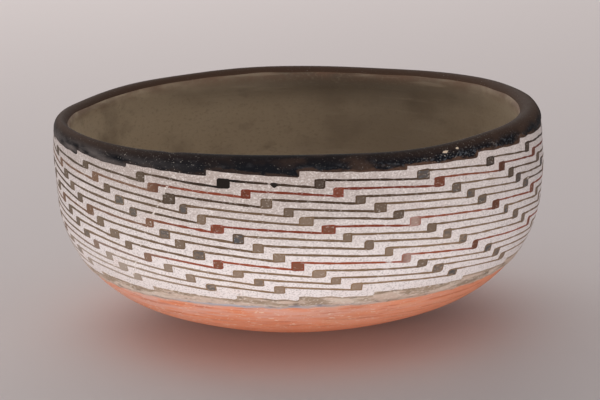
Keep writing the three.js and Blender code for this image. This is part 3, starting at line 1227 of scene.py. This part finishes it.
@dataclass
class ClayBody:
    """The clay itself: the round base, the wall built up on it and the rim coil that ends in the lip."""

    form: BowlForm
    columns: int = 400
    hidden_columns: int = 120
    fine_step: float = 1.4
    coarse_step: float = 3.5
    lip_step: float = 0.875
    sole_rings: int = 8
    foot_dulling: float = 9.0
    foot_dust: float = 0.9
    hazed: Bell = Bell(-30, 70, 0.9)
    hidden_share: float = 0.25

    def stations(self, start: float, stop: float, step: float) -> Array:
        """Places between two ends, no further apart than a step."""
        return np.linspace(start, stop, max(2, math.ceil(abs(stop - start) / step) + 1))

    def base(self) -> bpy.types.Object:
        """Builds the base: out from the middle of the flat foot, up to the seam, and back inside to the axis.

        Returns:
            The base.
        """
        form = self.form
        section = form.section
        angle = even_angles(self.columns)
        outside = self.stations(0.0, form.base_seam, self.fine_step)
        inside = self.stations(form.inner_seam(form.base_seam), section.end, self.coarse_step)
        place = np.concatenate([outside, inside])
        shell = form.points(angle, place, 0.0)
        sole = np.linspace(0.0, section.foot_radius, self.sole_rings)[:-1]
        turned = angle[:, None]
        level = np.zeros((len(angle), len(sole)))
        flat = np.stack([sole * np.sin(turned), -sole * np.cos(turned), level], axis=-1)
        places = np.concatenate([sole - section.foot_radius, place])
        lay = np.concatenate([flat, lay_out(angle, np.broadcast_to(place, shell.shape[:2]), form)], axis=1)
        lay[..., 2] = places
        shown = len(sole) + len(outside) - 1
        steps = np.abs(np.diff(places))
        steps[shown:] = self.coarse_step * self.hidden_share
        dulled = self.foot_dust * smooth(self.foot_dulling, 0.0, places)
        hazed = self.hazed.at(turned)
        values = {LAY: lay, "foot": dulled, "below": form.base_seam - places, "hazed": hazed}
        points = np.concatenate([flat, shell], axis=1)
        return SurfaceGrid("clay_base", angle, points, steps, False, values).build()

    def ring(self, name: str, outside: Array, inside: Array) -> bpy.types.Object:
        """Builds a clay ring that the coats hide, from its outside and inside places.

        Args:
            name: The piece's name.
            outside: Places up the outside.
            inside: Places down the inside.

        Returns:
            The ring.
        """
        angle = even_angles(self.hidden_columns)
        place = np.concatenate([outside, inside])
        points = self.form.points(angle, place, 0.0)
        lay = lay_out(angle, np.broadcast_to(place, points.shape[:2]), self.form)
        steps = np.full(len(place), self.coarse_step)
        return SurfaceGrid(name, angle, points, steps, True, {LAY: lay}).build()

    def make(self) -> None:
        """Builds the three pieces and dresses them."""
        form = self.form
        plain = BodyClay().dress()
        put_up(self.base(), "base_dish", BurnishedClay().dress())
        low_inside, high_inside = form.inner_seam(form.base_seam), form.inner_seam(form.rim_seam)
        wall_outside = self.stations(form.base_seam, form.rim_seam, self.coarse_step)
        wall_inside = self.stations(high_inside, low_inside, self.coarse_step)
        put_up(self.ring("clay_wall", wall_outside, wall_inside), "wall_ring", plain)
        lip = self.stations(form.section.lip_start, form.section.lip_end, self.lip_step)
        rim_outside = np.concatenate([self.stations(form.rim_seam, lip[0], self.coarse_step)[:-1], lip])
        rim_inside = self.stations(form.section.lip_end, high_inside, self.coarse_step)[1:]
        put_up(self.ring("clay_rim_coil", rim_outside, rim_inside), "rim_coil", plain)


@dataclass
class SlipCoats:
    """The two slips: cream over the outside wall and the lip, buff over the inside.

    The cream has painted shade that darkens the upper wall, most towards the front, fading down the wall, and
    dirt under the rim on the left. Inside, dirt from hands and painted shade darken the wall under the lip at
    the back. Painted light on one side and painted shade on another fade out towards the bottom, between two
    radii.
    """

    form: BowlForm
    columns: int = 420
    step: float = 1.3
    lip_step: float = 0.6
    under_step: float = 3.0
    under_lip_step: float = 1.2
    inside_step: float = 2.6
    inside_under_step: float = 6.0
    seat: float = 0.05
    least_lift: float = 0.02
    hidden_share: float = 0.1
    # Painted shade on the cream: a least share plus a bell round the bowl, fading out over a depth down the
    # wall
    least_painted_shade: float = 0.5
    painted_shade: Bell = Bell(-8, 36, 0.5)
    painted_shade_depth: float = 57.0
    # Dirt under the rim, mostly on the left, in the same colour as the painted shade
    grime_and_shade: Bell = Bell(-60, 50, 0.3)
    grime_depth: float = 13.0
    # Where dirt from hands and painted shade darken the inside under the lip
    handled_and_shaded: Bell = Bell(170, 45, 0.97)
    # Painted light on the inside's left side and painted shade on its right, as bells round the bowl
    painted_lit_side: Bell = Bell(-115, 60, 0.9)
    painted_shade_side: Bell = Bell(150, 22, 0.33)
    plain_bottom: tuple[float, float] = (15.0, 60.0)

    def stations(self, start: float, stop: float, step: float, lip_step: float) -> Array:
        """Places between two ends, closer together over the lip than elsewhere.

        Args:
            start: First place.
            stop: Last place, further along the section.
            step: Widest step off the lip.
            lip_step: Widest step on the lip.

        Returns:
            The places.
        """
        section = self.form.section
        ends = np.unique(np.clip([start, section.lip_start, section.lip_end, stop], start, stop))
        legs = []
        for low, high in zip(ends[:-1], ends[1:]):
            on_lip = section.lip_start <= (low + high) / 2 <= section.lip_end
            count = math.ceil((high - low) / (lip_step if on_lip else step))
            legs.append(np.linspace(low, high, count + 1)[:-1])
        return np.append(np.concatenate(legs), stop)

    def cream(self) -> bpy.types.Object:
        """Builds the cream coat: its top from the base seam over the lip, and its underside on the clay.

        Returns:
            The coat.
        """
        form = self.form
        angle = even_angles(self.columns)
        low = form.base_seam - form.slip_tuck
        top = self.stations(low, form.slip_edge, self.step, self.lip_step)
        under = self.stations(low, form.slip_edge, self.under_step, self.under_lip_step)[::-1]
        place = np.concatenate([top, under])
        lift = np.concatenate([np.maximum(form.ground(top), self.least_lift), np.full(len(under), 0.0)])
        grid_place = np.broadcast_to(place, (len(angle), len(place)))
        turned = angle[:, None]
        down = form.row_place(0) - grid_place
        by_rim = self.grime_and_shade.at(turned) * smooth(self.grime_depth, 0.0, down)
        # Painted shade, darkest at the top and towards the front
        painted_shade = self.least_painted_shade + self.painted_shade.at(turned)
        values = {
            LAY: lay_out(angle, grid_place, form),
            "crack": form.crack(angle, grid_place),
            "grime_and_shade": np.minimum(by_rim + painted_shade * smooth(self.painted_shade_depth, 0.0, down), 1.0),
        }
        steps = np.abs(np.diff(np.append(place, place[0])))
        steps[len(top) - 1 :] *= self.hidden_share
        points = form.points(angle, grid_place, lift)
        return SurfaceGrid("cream_slip_coat", angle, points, steps, True, values).build()

    def buff(self) -> bpy.types.Object:
        """Builds the buff coat: its underside from the axis up to the lip, and its top back down to the axis.

        Returns:
            The coat.
        """
        form = self.form
        angle = even_angles(self.columns)
        ends = form.slip_edge, form.section.end
        top = self.stations(*ends, self.inside_step, self.lip_step)
        under = self.stations(*ends, self.inside_under_step, self.under_lip_step)[::-1]
        place = np.concatenate([under, top])
        lift = np.concatenate([np.full(len(under), self.seat), np.full(len(top), form.slip_thickness)])
        grid_place = np.broadcast_to(place, (len(angle), len(place)))
        turned = angle[:, None]
        off_axis = smooth(*self.plain_bottom, form.section.point(place)[0])
        values = {
            LAY: lay_out(angle, grid_place, form),
            "edge": place - form.slip_edge,
            "handled_and_shaded": self.handled_and_shaded.at(turned),
            "painted_lit_side": self.painted_lit_side.at(turned) * off_axis,
            "painted_shade_side": self.painted_shade_side.at(turned) * off_axis,
        }
        steps = np.abs(np.diff(place))
        steps[: len(under)] = self.hidden_share
        points = form.points(angle, grid_place, lift)
        return SurfaceGrid("buff_slip_coat", angle, points, steps, False, values).build()

    def make(self) -> None:
        """Builds both coats and dresses them."""
        put_up(self.cream(), "cream_slip", CreamSlip().dress())
        put_up(self.buff(), "interior_slip", BuffSlip().dress())


@dataclass
class SteppedEdge:
    """A band's stepped edge: it climbs at each column and falls gently to the next.

    Its stations lie close together at the steps. Before a step the band's corner is rounded.
    """

    form: BowlForm
    row: int
    step_height: float = 2.3
    corner: float = 1.0
    between: int = 26
    waviness: float = 0.1
    waves: tuple[int, int] = (15, 90)
    wave_count: int = 12
    height_range: tuple[float, float] = (0.85, 1.15)
    corner_range: tuple[float, float] = (0.4, 1.5)
    before: tuple[float, ...] = (2.2, 1.5, 1.05, 0.75, 0.5, 0.3, 0.15, 0.05, 0.0)
    after: tuple[float, ...] = (0.12, 0.35, 0.7, 1.2)
    angle: Array = field(init=False)
    place: Array = field(init=False)
    ahead: Array = field(init=False)
    step_top: Array = field(init=False)

    def __post_init__(self) -> None:
        """Works out the edge at every station.

        From the top after one step to the bottom before the next the place falls evenly. Over the last
        corner's width it turns up along a quarter circle.
        """
        draw = np.random.default_rng([SEED, Draw.STEPS + self.row])
        middle = self.form.row_place(self.row)
        radius = float(self.form.section.point(middle)[0])
        steps = self.form.pattern.angles(self.row)
        height = self.step_height * draw.uniform(*self.height_range, len(steps))
        corner = self.corner * draw.uniform(*self.corner_range, len(steps))[:, None]
        following = np.append(steps[1:], steps[0] + FULL_TURN)
        next_height = np.roll(height, -1)[:, None]
        next_corner = np.roll(corner, -1, axis=0)
        first = steps[:, None] + np.array(self.after) / radius
        last = following[:, None] - np.array(self.before) / radius
        share = np.linspace(0.0, 1.0, self.between + 2)[1:-1]
        middle_part = first[:, -1:] + share * (last[:, :1] - first[:, -1:])
        angle = np.concatenate([first, middle_part, last], axis=1)
        fall = (angle - first[:, :1]) / (last[:, -1:] - first[:, :1])
        top = middle + height[:, None] / 2
        bottom = middle - next_height / 2
        ahead = (following[:, None] - angle) * radius
        inset = next_corner - np.minimum(ahead, next_corner)
        turn = next_corner - np.sqrt(np.maximum(next_corner**2 - inset**2, 0.0))
        self.angle = angle.ravel()
        self.ahead = ahead.ravel()
        self.step_top = np.broadcast_to(middle + next_height / 2, angle.shape).ravel()
        wobble = self.waviness * ripple(self.angle, self.waves, self.wave_count, Draw.STEP_EDGE + self.row)
        self.place = (top + fall * (bottom - top) + turn).ravel() + wobble

    def distance(self, place: Array) -> Array:
        """Measures how far places inside the band lie from its edge, below it or beside the next step."""
        beside = np.hypot(self.ahead[:, None], np.maximum(place - self.step_top[:, None], 0.0))
        return np.minimum(place - self.place[:, None], beside)


@dataclass(frozen=True)
class Chip:
    """Paint lost from the rim: degrees round the bowl, millimetres above the lip's start, and half sides."""

    middle: float
    above: float
    length: float
    height: float


@dataclass
class PaintedBands:
    """The two broad bands: the dark one over the lip and the worn border under the lines."""

    form: BowlForm
    thickness: float = 0.12
    sunk: float = 0.06
    depth: float = 0.2
    bevel: float = 0.25
    hidden_share: float = 0.1
    rise: tuple[float, ...] = (0.0, 0.02, 0.05, 0.1, 0.18, 0.3, 0.45, 0.62, 0.8)
    lip_step: float = 0.36
    inner_lap: float = 0.35
    inner_waviness: float = 0.1
    inner_waves: tuple[int, int] = (4, 30)
    inner_rows: tuple[float, ...] = (0.7, 0.45, 0.25, 0.12, 0.0)
    lip_brown_start: float = 0.5
    lip_brown_full: float = 4.5
    lip_dark: Bell = Bell(-4, 54, 0.9)
    least_worn: float = 0.1
    worn: Bell = Bell(40, 42, 0.8)
    peppered: Bell = Bell(48, 30, 0.55)
    # Where the grey painted sheen lies, on the outside only
    painted_sheen: Bell = Bell(-66, 26, 0.8)
    outside_top: float = 4.0
    least_flecked: float = 0.12
    flecked: tuple[Bell, ...] = (Bell(-42, 5, 0.7), Bell(-28, 7, 0.85), Bell(38, 18, 0.7))
    chips: tuple[Chip, ...] = (Chip(33.7, 2.5, 2.3, 0.7), Chip(37.0, 3.0, 1.1, 0.6), Chip(-28, 0.5, 0.6, 0.9))
    border_edges: tuple[float, ...] = (0.0, 0.015, 0.03, 0.06)
    border_rows: int = 12
    border_drop: float = 0.7
    foot_waviness: float = 0.28
    foot_waves: tuple[int, int] = (8, 64)
    wave_count: int = 20
    bluish: Bell = Bell(-14, 20)

    def shell(self, name: str, angle: Array, place: Array, values: dict[str, Array]) -> SurfaceGrid:
        """Gives a painted sheet its thickness, thin at both edges, with the underside sunk into the slip.

        Args:
            name: The piece's name.
            angle: Angles round the bowl, one for each column.
            place: Places across the sheet, by column and corner.
            values: Values at the sheet's corners.

        Returns:
            The closed surface.
        """
        start, stop = place[:, :1], place[:, -1:]
        inside = np.minimum(place - start, stop - place)
        ground = self.form.ground(place)
        top = ground - self.sunk + (self.thickness + self.sunk) * smooth(0.0, self.bevel, inside)
        under = ground - self.sunk - self.depth * smooth(0.0, self.bevel, inside)
        both = np.concatenate([place, place[:, -2:0:-1]], axis=1)
        lift = np.concatenate([top, under[:, -2:0:-1]], axis=1)
        full = {key: np.concatenate([value, value[:, -2:0:-1]], axis=1) for key, value in values.items()}
        full[LAY] = lay_out(angle, both, self.form)
        steps = np.abs(np.diff(np.append(both.mean(axis=0), both[:, 0].mean())))
        steps[place.shape[1] - 1 :] *= self.hidden_share
        return SurfaceGrid(name, angle, self.form.points(angle, both, lift), steps, True, full)

    def rim(self) -> bpy.types.Object:
        """Builds the dark band: from its stepped edge, up the outside and over the lip to its inner edge.

        Wear, flecks and a painted sheen are bells round the bowl, some of them only on the outside of the
        lip.
        A chip is a bell along the band and across it.

        Returns:
            The band.
        """
        form = self.form
        edge = SteppedEdge(form, 0)
        angle = edge.angle
        turned = angle[:, None]
        wobble = ripple(angle, self.inner_waves, self.wave_count, Draw.INNER_EDGE)
        inner = (form.slip_edge + self.inner_lap + self.inner_waviness * wobble)[:, None]
        start = edge.place[:, None]
        lip = np.arange(form.section.lip_start, form.slip_edge - self.lip_step, self.lip_step)
        outside = start + np.array(self.rise) * (lip[0] - start)
        over = np.broadcast_to(lip, (len(angle), len(lip)))
        place = np.concatenate([outside, over, inner - np.array(self.inner_rows)], axis=1)
        above = place - form.section.lip_start
        chipped = np.zeros(place.shape)
        for chip in self.chips:
            along = Bell(chip.middle, math.degrees(chip.length / form.section.rim_radius)).at(turned)
            chipped = np.maximum(chipped, along * np.exp(-(((above - chip.above) / chip.height) ** 2)))
        outside_only = smooth(self.outside_top, 0.0, above)
        browned = smooth(self.lip_brown_start, self.lip_brown_full, above)
        flecked = self.least_flecked + sum(patch.at(turned) for patch in self.flecked)
        values = {
            "edge": edge.distance(place),
            "inner": inner - place,
            "lip": browned * (1 - self.lip_dark.at(turned)),
            "worn": np.broadcast_to(self.least_worn + self.worn.at(turned), place.shape),
            "peppered": self.peppered.at(turned) * outside_only,
            "painted_sheen": self.painted_sheen.at(turned) * outside_only,
            "flecked": np.broadcast_to(np.minimum(flecked, 1.0), place.shape),
            "chip": chipped,
        }
        return self.shell("dark_rim_band", angle, place, values).build()

    def border(self) -> bpy.types.Object:
        """Builds the worn border: from its uneven foot on the base, over the slip's lower edge, to its steps.

        Returns:
            The border.
        """
        form = self.form
        edge = SteppedEdge(form, form.pattern.border_row)
        angle = edge.angle
        wobble = ripple(angle, self.foot_waves, self.wave_count, Draw.BORDER_FOOT)
        foot = (form.base_seam - self.border_drop + self.foot_waviness * wobble)[:, None]
        ends = np.array(self.border_edges)
        share = np.concatenate([ends, np.linspace(0.0, 1.0, self.border_rows)[1:-1], (1.0 - ends)[::-1]])
        place = foot + np.sort(share) * (edge.place[:, None] - foot)
        values = {
            "edge": edge.place[:, None] - place,
            "hem": place - foot,
            "bluish": np.broadcast_to(self.bluish.at(angle)[:, None], place.shape),
        }
        return self.shell("worn_lower_border", angle, place, values).build()

    def make(self) -> None:
        """Builds both bands and dresses them."""
        put_up(self.rim(), "rim_paint", RimPaint().dress())
        put_up(self.border(), "lower_border_paint", BorderPaint().dress())


@dataclass(frozen=True)
class BrushMark:
    """Where the brush left more or less on a line than usual.

    Gain is a bell of the share that the line's width grows or shrinks by, sag of how far its lower edge
    hangs down, the black bell of how much darker it is, a dark mark of the brush or painted shade, and faded
    of how much of it is gone.
    """

    row: int
    gain: Bell = FLAT
    sag: Bell = FLAT
    ink: Bell = FLAT
    faded: Bell = FLAT


@dataclass
class PaintedLines:
    """The thirteen closed saw-tooth lines. Each runs into the foot of a block and leaves from its top.

    Across a ribbon there are four corners from the lower edge inwards, one in the middle, four more out to
    the upper edge, and two on the underside. Bevel, outlined and filled place the corners inside an edge:
    each is a width, and the share of the line's width that it is held to. Crests are shares of the crest's
    lift. Fill corners are 1 where a block is filled, and map steps are shares of the texture's width.
    """

    form: BowlForm
    line_width: float = 0.95
    block_width: float = 4.8
    block_height: float = 3.8
    top_over: tuple[float, float] = (0.0, 0.35)
    foot_under: tuple[float, float] = (0.0, 0.3)
    over_slope: float = 0.9
    crest: float = 0.1
    sunk: float = 0.05
    lap: float = 0.06
    depth: float = 0.2
    corner: float = 1.05
    upper_corners: tuple[float, float] = (0.6, 1.5)
    lower_corners: tuple[float, float] = (0.2, 1.3)
    place_scatter: float = 0.25
    width_scatter: float = 0.13
    height_scatter: float = 0.05
    most_scatter: float = 2.0
    drift: float = 0.05
    drift_waves: tuple[int, int] = (6, 34)
    swell: float = 0.05
    swell_waves: tuple[int, int] = (20, 110)
    wave_count: int = 14
    between: int = 90
    bow: float = 0.2
    marks: tuple[BrushMark, ...] = (
        BrushMark(1, gain=Bell(-5.4, 0.5, 0.4), sag=Bell(-5.4, 0.55, 0.8), ink=Bell(-5.4, 0.9)),
        BrushMark(1, gain=Bell(-6.4, 0.28, -1.0)),
        BrushMark(1, ink=Bell(-15.9, 2.4)),
        BrushMark(1, ink=Bell(-20, 13, 0.7)),
        BrushMark(2, ink=Bell(-31, 2, 0.35)),
        # Painted shade: the blackening near 43 to 51 degrees on rows 2, 6 and 10, on the side away from the
        # light
        BrushMark(2, ink=Bell(51, 2.2, 0.35)),
        BrushMark(6, ink=Bell(48.4, 2.2, 0.35), faded=Bell(25.3, 1.6, 0.25)),
        BrushMark(10, ink=Bell(43, 2.2, 0.3), faded=Bell(24.2, 1.6, 0.25)),
        BrushMark(10, gain=Bell(19.5, 0.8, -1.0)),
    )
    faded: Bell = Bell(-55, 22, 0.3)
    faded_rows: tuple[float, float] = (8.5, 12.0)
    aged: tuple[Bell, ...] = (Bell(-75, 26), Bell(-45, 16, 0.85), Bell(46, 22, 0.4))
    # Lines grow paler row by row down the wall: partly the paint's own tone, partly painted shade
    tone_and_shade_gain: float = 0.95
    tone_scatter: float = 0.09
    thin: Bell = Bell(44, 20, 0.22)
    slim: Bell = Bell(52, 24, 0.22)
    odd_range: tuple[float, float] = (-1.0, 1.0)
    near_side: tuple[float, ...] = (0.0, 0.07, 0.18, 0.34, 0.55, 0.8, 1.1, 1.5)
    bevel: tuple[float, float] = (0.1, 0.22)
    outlined: tuple[float, float] = (0.42, 0.36)
    filled: tuple[float, float] = (0.8, 0.46)
    crests: tuple[float, ...] = (0.7, 1.0, 1.0, 1.0, 1.0, 1.0, 0.7)
    under_shares: tuple[float, float] = (0.8, 0.2)
    fill_ends: tuple[float, float] = (0.3, 0.8)
    fill_corners: tuple[int, ...] = (0, 0, 0, 1, 1, 1, 0, 0, 0, 0, 0)
    map_steps: tuple[float, ...] = (0.15, 0.4, 0.5, 0.9, 0.9, 0.5, 0.4, 0.15, 0.05, 0.05, 0.05)

    def outline(self, row: int) -> dict[str, Array]:
        """Works out one line: its lower and upper edge, and how far each station lies inside a block.

        In a block the upper edge stands up at the left, turns over a rounded corner and comes down a little
        to the line that leaves. The lower edge sinks a little below the line that comes in and turns up over
        a rounded corner at the right. Between blocks the line falls from one top to the next foot, bowed
        upwards a little: bow * 4s(1 - s) for the share s of the way. All edges share slow ripples, as of a
        hand-held brush.

        Args:
            row: The line's row.

        Returns:
            Angle, low, high, inside, tone, odd, blackening and faded, one value for each station.
        """
        form = self.form
        draw = np.random.default_rng([SEED, Draw.LINES + row])
        middle = form.row_place(row)
        radius = float(form.section.point(middle)[0])
        count = form.pattern.column_count
        scatter = np.clip(draw.normal(0.0, 1.0, (3, count)), -self.most_scatter, self.most_scatter)
        centre = form.pattern.angles(row) + np.radians(self.place_scatter * scatter[0])
        width = self.block_width * (1 + self.width_scatter * scatter[1])
        height = self.block_height * (1 + self.height_scatter * scatter[2])[:, None]
        upper_corner = self.corner * draw.uniform(*self.upper_corners, count)[:, None]
        lower_corner = self.corner * draw.uniform(*self.lower_corners, count)[:, None]
        over = draw.uniform(*self.top_over, count)[:, None]
        under = draw.uniform(*self.foot_under, count)[:, None]
        left = (centre - width / 2 / radius)[:, None]
        right = (centre + width / 2 / radius)[:, None]
        offsets = np.array(self.near_side) / radius
        block = np.concatenate([left + offsets, (left + right) / 2, right - offsets[::-1]], axis=1)
        share = np.linspace(0.0, 1.0, self.between + 2)[1:-1]
        next_left = np.append(left[1:], left[:1] + FULL_TURN, axis=0)
        run = right + share * (next_left - right)
        angle = np.concatenate([block, run], axis=1)

        foot, top = middle - height / 2, middle + height / 2
        from_left, from_right = (block - left) * radius, (right - block) * radius
        crown = over * smooth(0.0, self.over_slope, from_right)
        belly = under * smooth(0.0, self.over_slope, from_left)
        rising = top + crown - self.quarter_drop(from_left, upper_corner)
        leaving = foot - belly + self.quarter_drop(from_right, lower_corner)
        block_high = np.where(from_left <= 0.0, foot + self.line_width, rising)
        block_low = np.where(from_right <= 0.0, top - self.line_width, leaving)
        start = top - self.line_width
        stop = np.roll(foot, -1, axis=0)
        run_low = start + share * (stop - start) + self.bow * ARCH_GAIN * share * (1 - share)
        low = np.concatenate([block_low, run_low], axis=1).ravel()
        high = np.concatenate([block_high, run_low + self.line_width], axis=1).ravel()
        inside = np.concatenate([np.minimum(from_left, from_right), np.zeros(run.shape)], axis=1).ravel()

        flat = angle.ravel()
        drift = self.drift * ripple(flat, self.drift_waves, self.wave_count, Draw.DRIFT + row)
        swell = self.swell * ripple(flat, self.swell_waves, self.wave_count, Draw.SWELL + row)
        marks = [mark for mark in self.marks if mark.row == row]
        slimmer = np.where(inside > 0.0, 0.0, self.slim.at(flat))
        gain = sum((mark.gain.at(flat) for mark in marks), -slimmer)
        sag = sum((mark.sag.at(flat) for mark in marks), np.zeros(flat.shape))
        ink = sum((mark.ink.at(flat) for mark in marks), np.zeros(flat.shape))
        faded = self.faded.at(flat) * smooth(*self.faded_rows, row)
        faded = sum((mark.faded.at(flat) for mark in marks), faded)
        swell = swell + gain * (high - low) / 2 + self.lap * (1 + gain)
        # Darker near the rim, paler down the wall: partly the paint's tone, partly painted shade
        usual = self.tone_and_shade_gain * row / form.pattern.border_row
        tone = np.clip(draw.normal(usual, self.tone_scatter, (2, count, 1)), 0.0, 1.0)
        parts = [np.broadcast_to(tone[0], block.shape), np.minimum(tone[1] + self.thin.at(run), 1.0)]
        odd = np.broadcast_to(draw.uniform(*self.odd_range, (count, 1)).clip(0.0), angle.shape)
        return {
            "angle": flat,
            "low": low + drift - swell - sag,
            "high": high + drift + swell,
            "inside": inside,
            "tone": np.concatenate(parts, axis=1).ravel(),
            "odd": odd.ravel(),
            "ink": np.minimum(ink, 1.0),
            "faded": faded,
        }

    def quarter_drop(self, away: Array, corner: Array) -> Array:
        """The drop of a rounded corner, some way in from the side of a block: a quarter circle."""
        inset = corner - np.minimum(away, corner)
        return corner - np.sqrt(corner**2 - inset**2)

    def ribbon(self, row: int) -> bpy.types.Object:
        """Builds one line as a thin closed ribbon, full in the middle and sunk into the slip at its edges.

        Args:
            row: The line's row.

        Returns:
            The line.
        """
        form = self.form
        line = self.outline(row)
        angle = line["angle"]
        low, wide = line["low"][:, None], (line["high"] - line["low"])[:, None]
        insets = (self.bevel, self.outlined, self.filled)
        half = [np.zeros_like(wide), *[np.minimum(most, share * wide) for most, share in insets]]
        under = [share * wide for share in self.under_shares]
        across = [*half, wide / 2, *[wide - part for part in half[::-1]], *under]
        place = low + np.concatenate(across, axis=1)
        arch = [-self.sunk, *(self.crest * np.array(self.crests)), -self.sunk]
        lift = form.ground(place) + np.array([*arch, *[-self.depth] * len(under)])
        filled = smooth(*self.fill_ends, line["inside"])[:, None] * np.array(self.fill_corners)
        values = {
            LAY: lay_out(angle, place, form),
            "crack": form.crack(angle, place),
            "fill": filled,
            "aged": np.minimum(sum(bell.at(angle) for bell in self.aged), 1.0)[:, None],
            **{name: line[name][:, None] for name in ("tone", "odd", "ink", "faded")},
        }
        name = f"brushed_line_{row:02d}"
        points = form.points(angle, place, lift)
        return SurfaceGrid(name, angle, points, np.array(self.map_steps), True, values).build()

    def make(self) -> None:
        """Builds every line and dresses it in brown or red."""
        brown, red = BROWN_LINE_PAINT.dress(), RED_LINE_PAINT.dress()
        for row in range(1, self.form.pattern.line_count + 1):
            is_red = self.form.pattern.is_red(row)
            put_up(self.ribbon(row), f"painted_line_{row:02d}", red if is_red else brown)


@dataclass(frozen=True)
class Lamp:
    """A soft rectangular lamp: where it stands, what it faces, its sides and its power."""

    name: str
    place: tuple[float, float, float]
    target: tuple[float, float, float]
    sides: tuple[float, float]
    watts: float
    colour: str

    def hang(self) -> None:
        """Puts the lamp in the scene."""
        light = bpy.data.lights.new(self.name, "AREA")
        light.shape = "RECTANGLE"
        light.size, light.size_y = self.sides
        light.energy = self.watts
        light.color = linear(self.colour)[:3]
        lamp = bpy.data.objects.new(self.name, light)
        lamp.location = self.place
        lamp.rotation_euler = (Vector(self.target) - Vector(self.place)).to_track_quat("-Z", "Y").to_euler()
        bpy.context.scene.collection.objects.link(lamp)


@dataclass
class Studio:
    """A plain pale floor, soft light and the camera, in metres and radians. The lens is in millimetres."""

    floor_side: float = 12.0
    floor_colour: str = "#cac1bf"
    floor_roughness: float = 0.9
    world_colour: str = "#f0eef0"
    world_strength: float = 0.52
    lens: float = 132.0
    sensor: float = 36.0
    camera_back: float = 0.9737
    camera_height: float = 0.2859
    camera_pitch: float = 0.2353
    camera_roll: float = 0.0255
    lamps: tuple[Lamp, ...] = (
        Lamp("front_soft_lamp", (0.1, -3.0, 0.13), (0.0, 0.0, 0.05), (2.7, 0.24), 67.0, "#fffefd"),
        Lamp("left_soft_lamp", (-2.9, -0.7, 0.14), (0.0, 0.0, 0.05), (1.2, 0.26), 19.0, "#fffefd"),
        Lamp("back_soft_lamp", (-0.5, 1.5, 1.1), (0.0, 0.0, 0.05), (2.4, 1.6), 20.0, "#fffdfb"),
    )

    def floor(self) -> None:
        """Lays the floor: one large square at the height of the foot."""
        half = self.floor_side / 2
        mesh = bpy.data.meshes.new("floor")
        corners = np.array([(-half, -half, 0.0), (half, -half, 0.0), (half, half, 0.0), (-half, half, 0.0)])
        mesh.from_pydata(corners, [], [(0, 1, 2, 3)])
        plain = {"Base_Color": linear(self.floor_colour), "Roughness": self.floor_roughness}
        mesh.materials.append(Sheet("floor_plain").finish(**plain))
        floor = bpy.data.objects.new("floor", mesh)
        bpy.context.scene.collection.objects.link(floor)

    def camera(self) -> None:
        """Aims the camera: level, then pitched down, then rolled so that the right side of the view rises."""
        data = bpy.data.cameras.new("camera")
        data.lens = self.lens
        data.sensor_width = self.sensor
        data.sensor_fit = "HORIZONTAL"
        camera = bpy.data.objects.new("camera", data)
        place = Matrix.Translation((0.0, -self.camera_back, self.camera_height))
        pitch = Matrix.Rotation(math.pi / 2 - self.camera_pitch, MATRIX_SIZE, "X")
        roll = Matrix.Rotation(-self.camera_roll, MATRIX_SIZE, "Z")
        camera.matrix_world = place @ (pitch @ roll)
        bpy.context.scene.collection.objects.link(camera)
        bpy.context.scene.camera = camera

    def world(self) -> None:
        """Fills the scene with even light from all round."""
        world = bpy.data.worlds.new("studio")
        world.use_nodes = True
        background = world.node_tree.nodes["Background"]
        background.inputs["Color"].default_value = linear(self.world_colour)
        background.inputs["Strength"].default_value = self.world_strength
        bpy.context.scene.world = world

    def make(self) -> None:
        """Sets up the floor, the light, the camera and the view."""
        self.floor()
        self.world()
        for lamp in self.lamps:
            lamp.hang()
        self.camera()
        bpy.context.scene.view_settings.view_transform = "Standard"


def main() -> None:
    """Measures the solids, then builds the clay, the slips, the bands, the lines and the studio in order."""
    logging.basicConfig(level=logging.INFO, format="%(message)s")
    rim_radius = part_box("wall_ring")[1].x / MM
    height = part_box("rim_coil")[1].z / MM
    form = BowlForm(ClaySection(rim_radius, height))
    for assembly in (ClayBody(form), SlipCoats(form), PaintedBands(form), PaintedLines(form), Studio()):
        assembly.make()
        LOG.info("%s made", type(assembly).__name__)


if __name__ == "__main__":
    main()
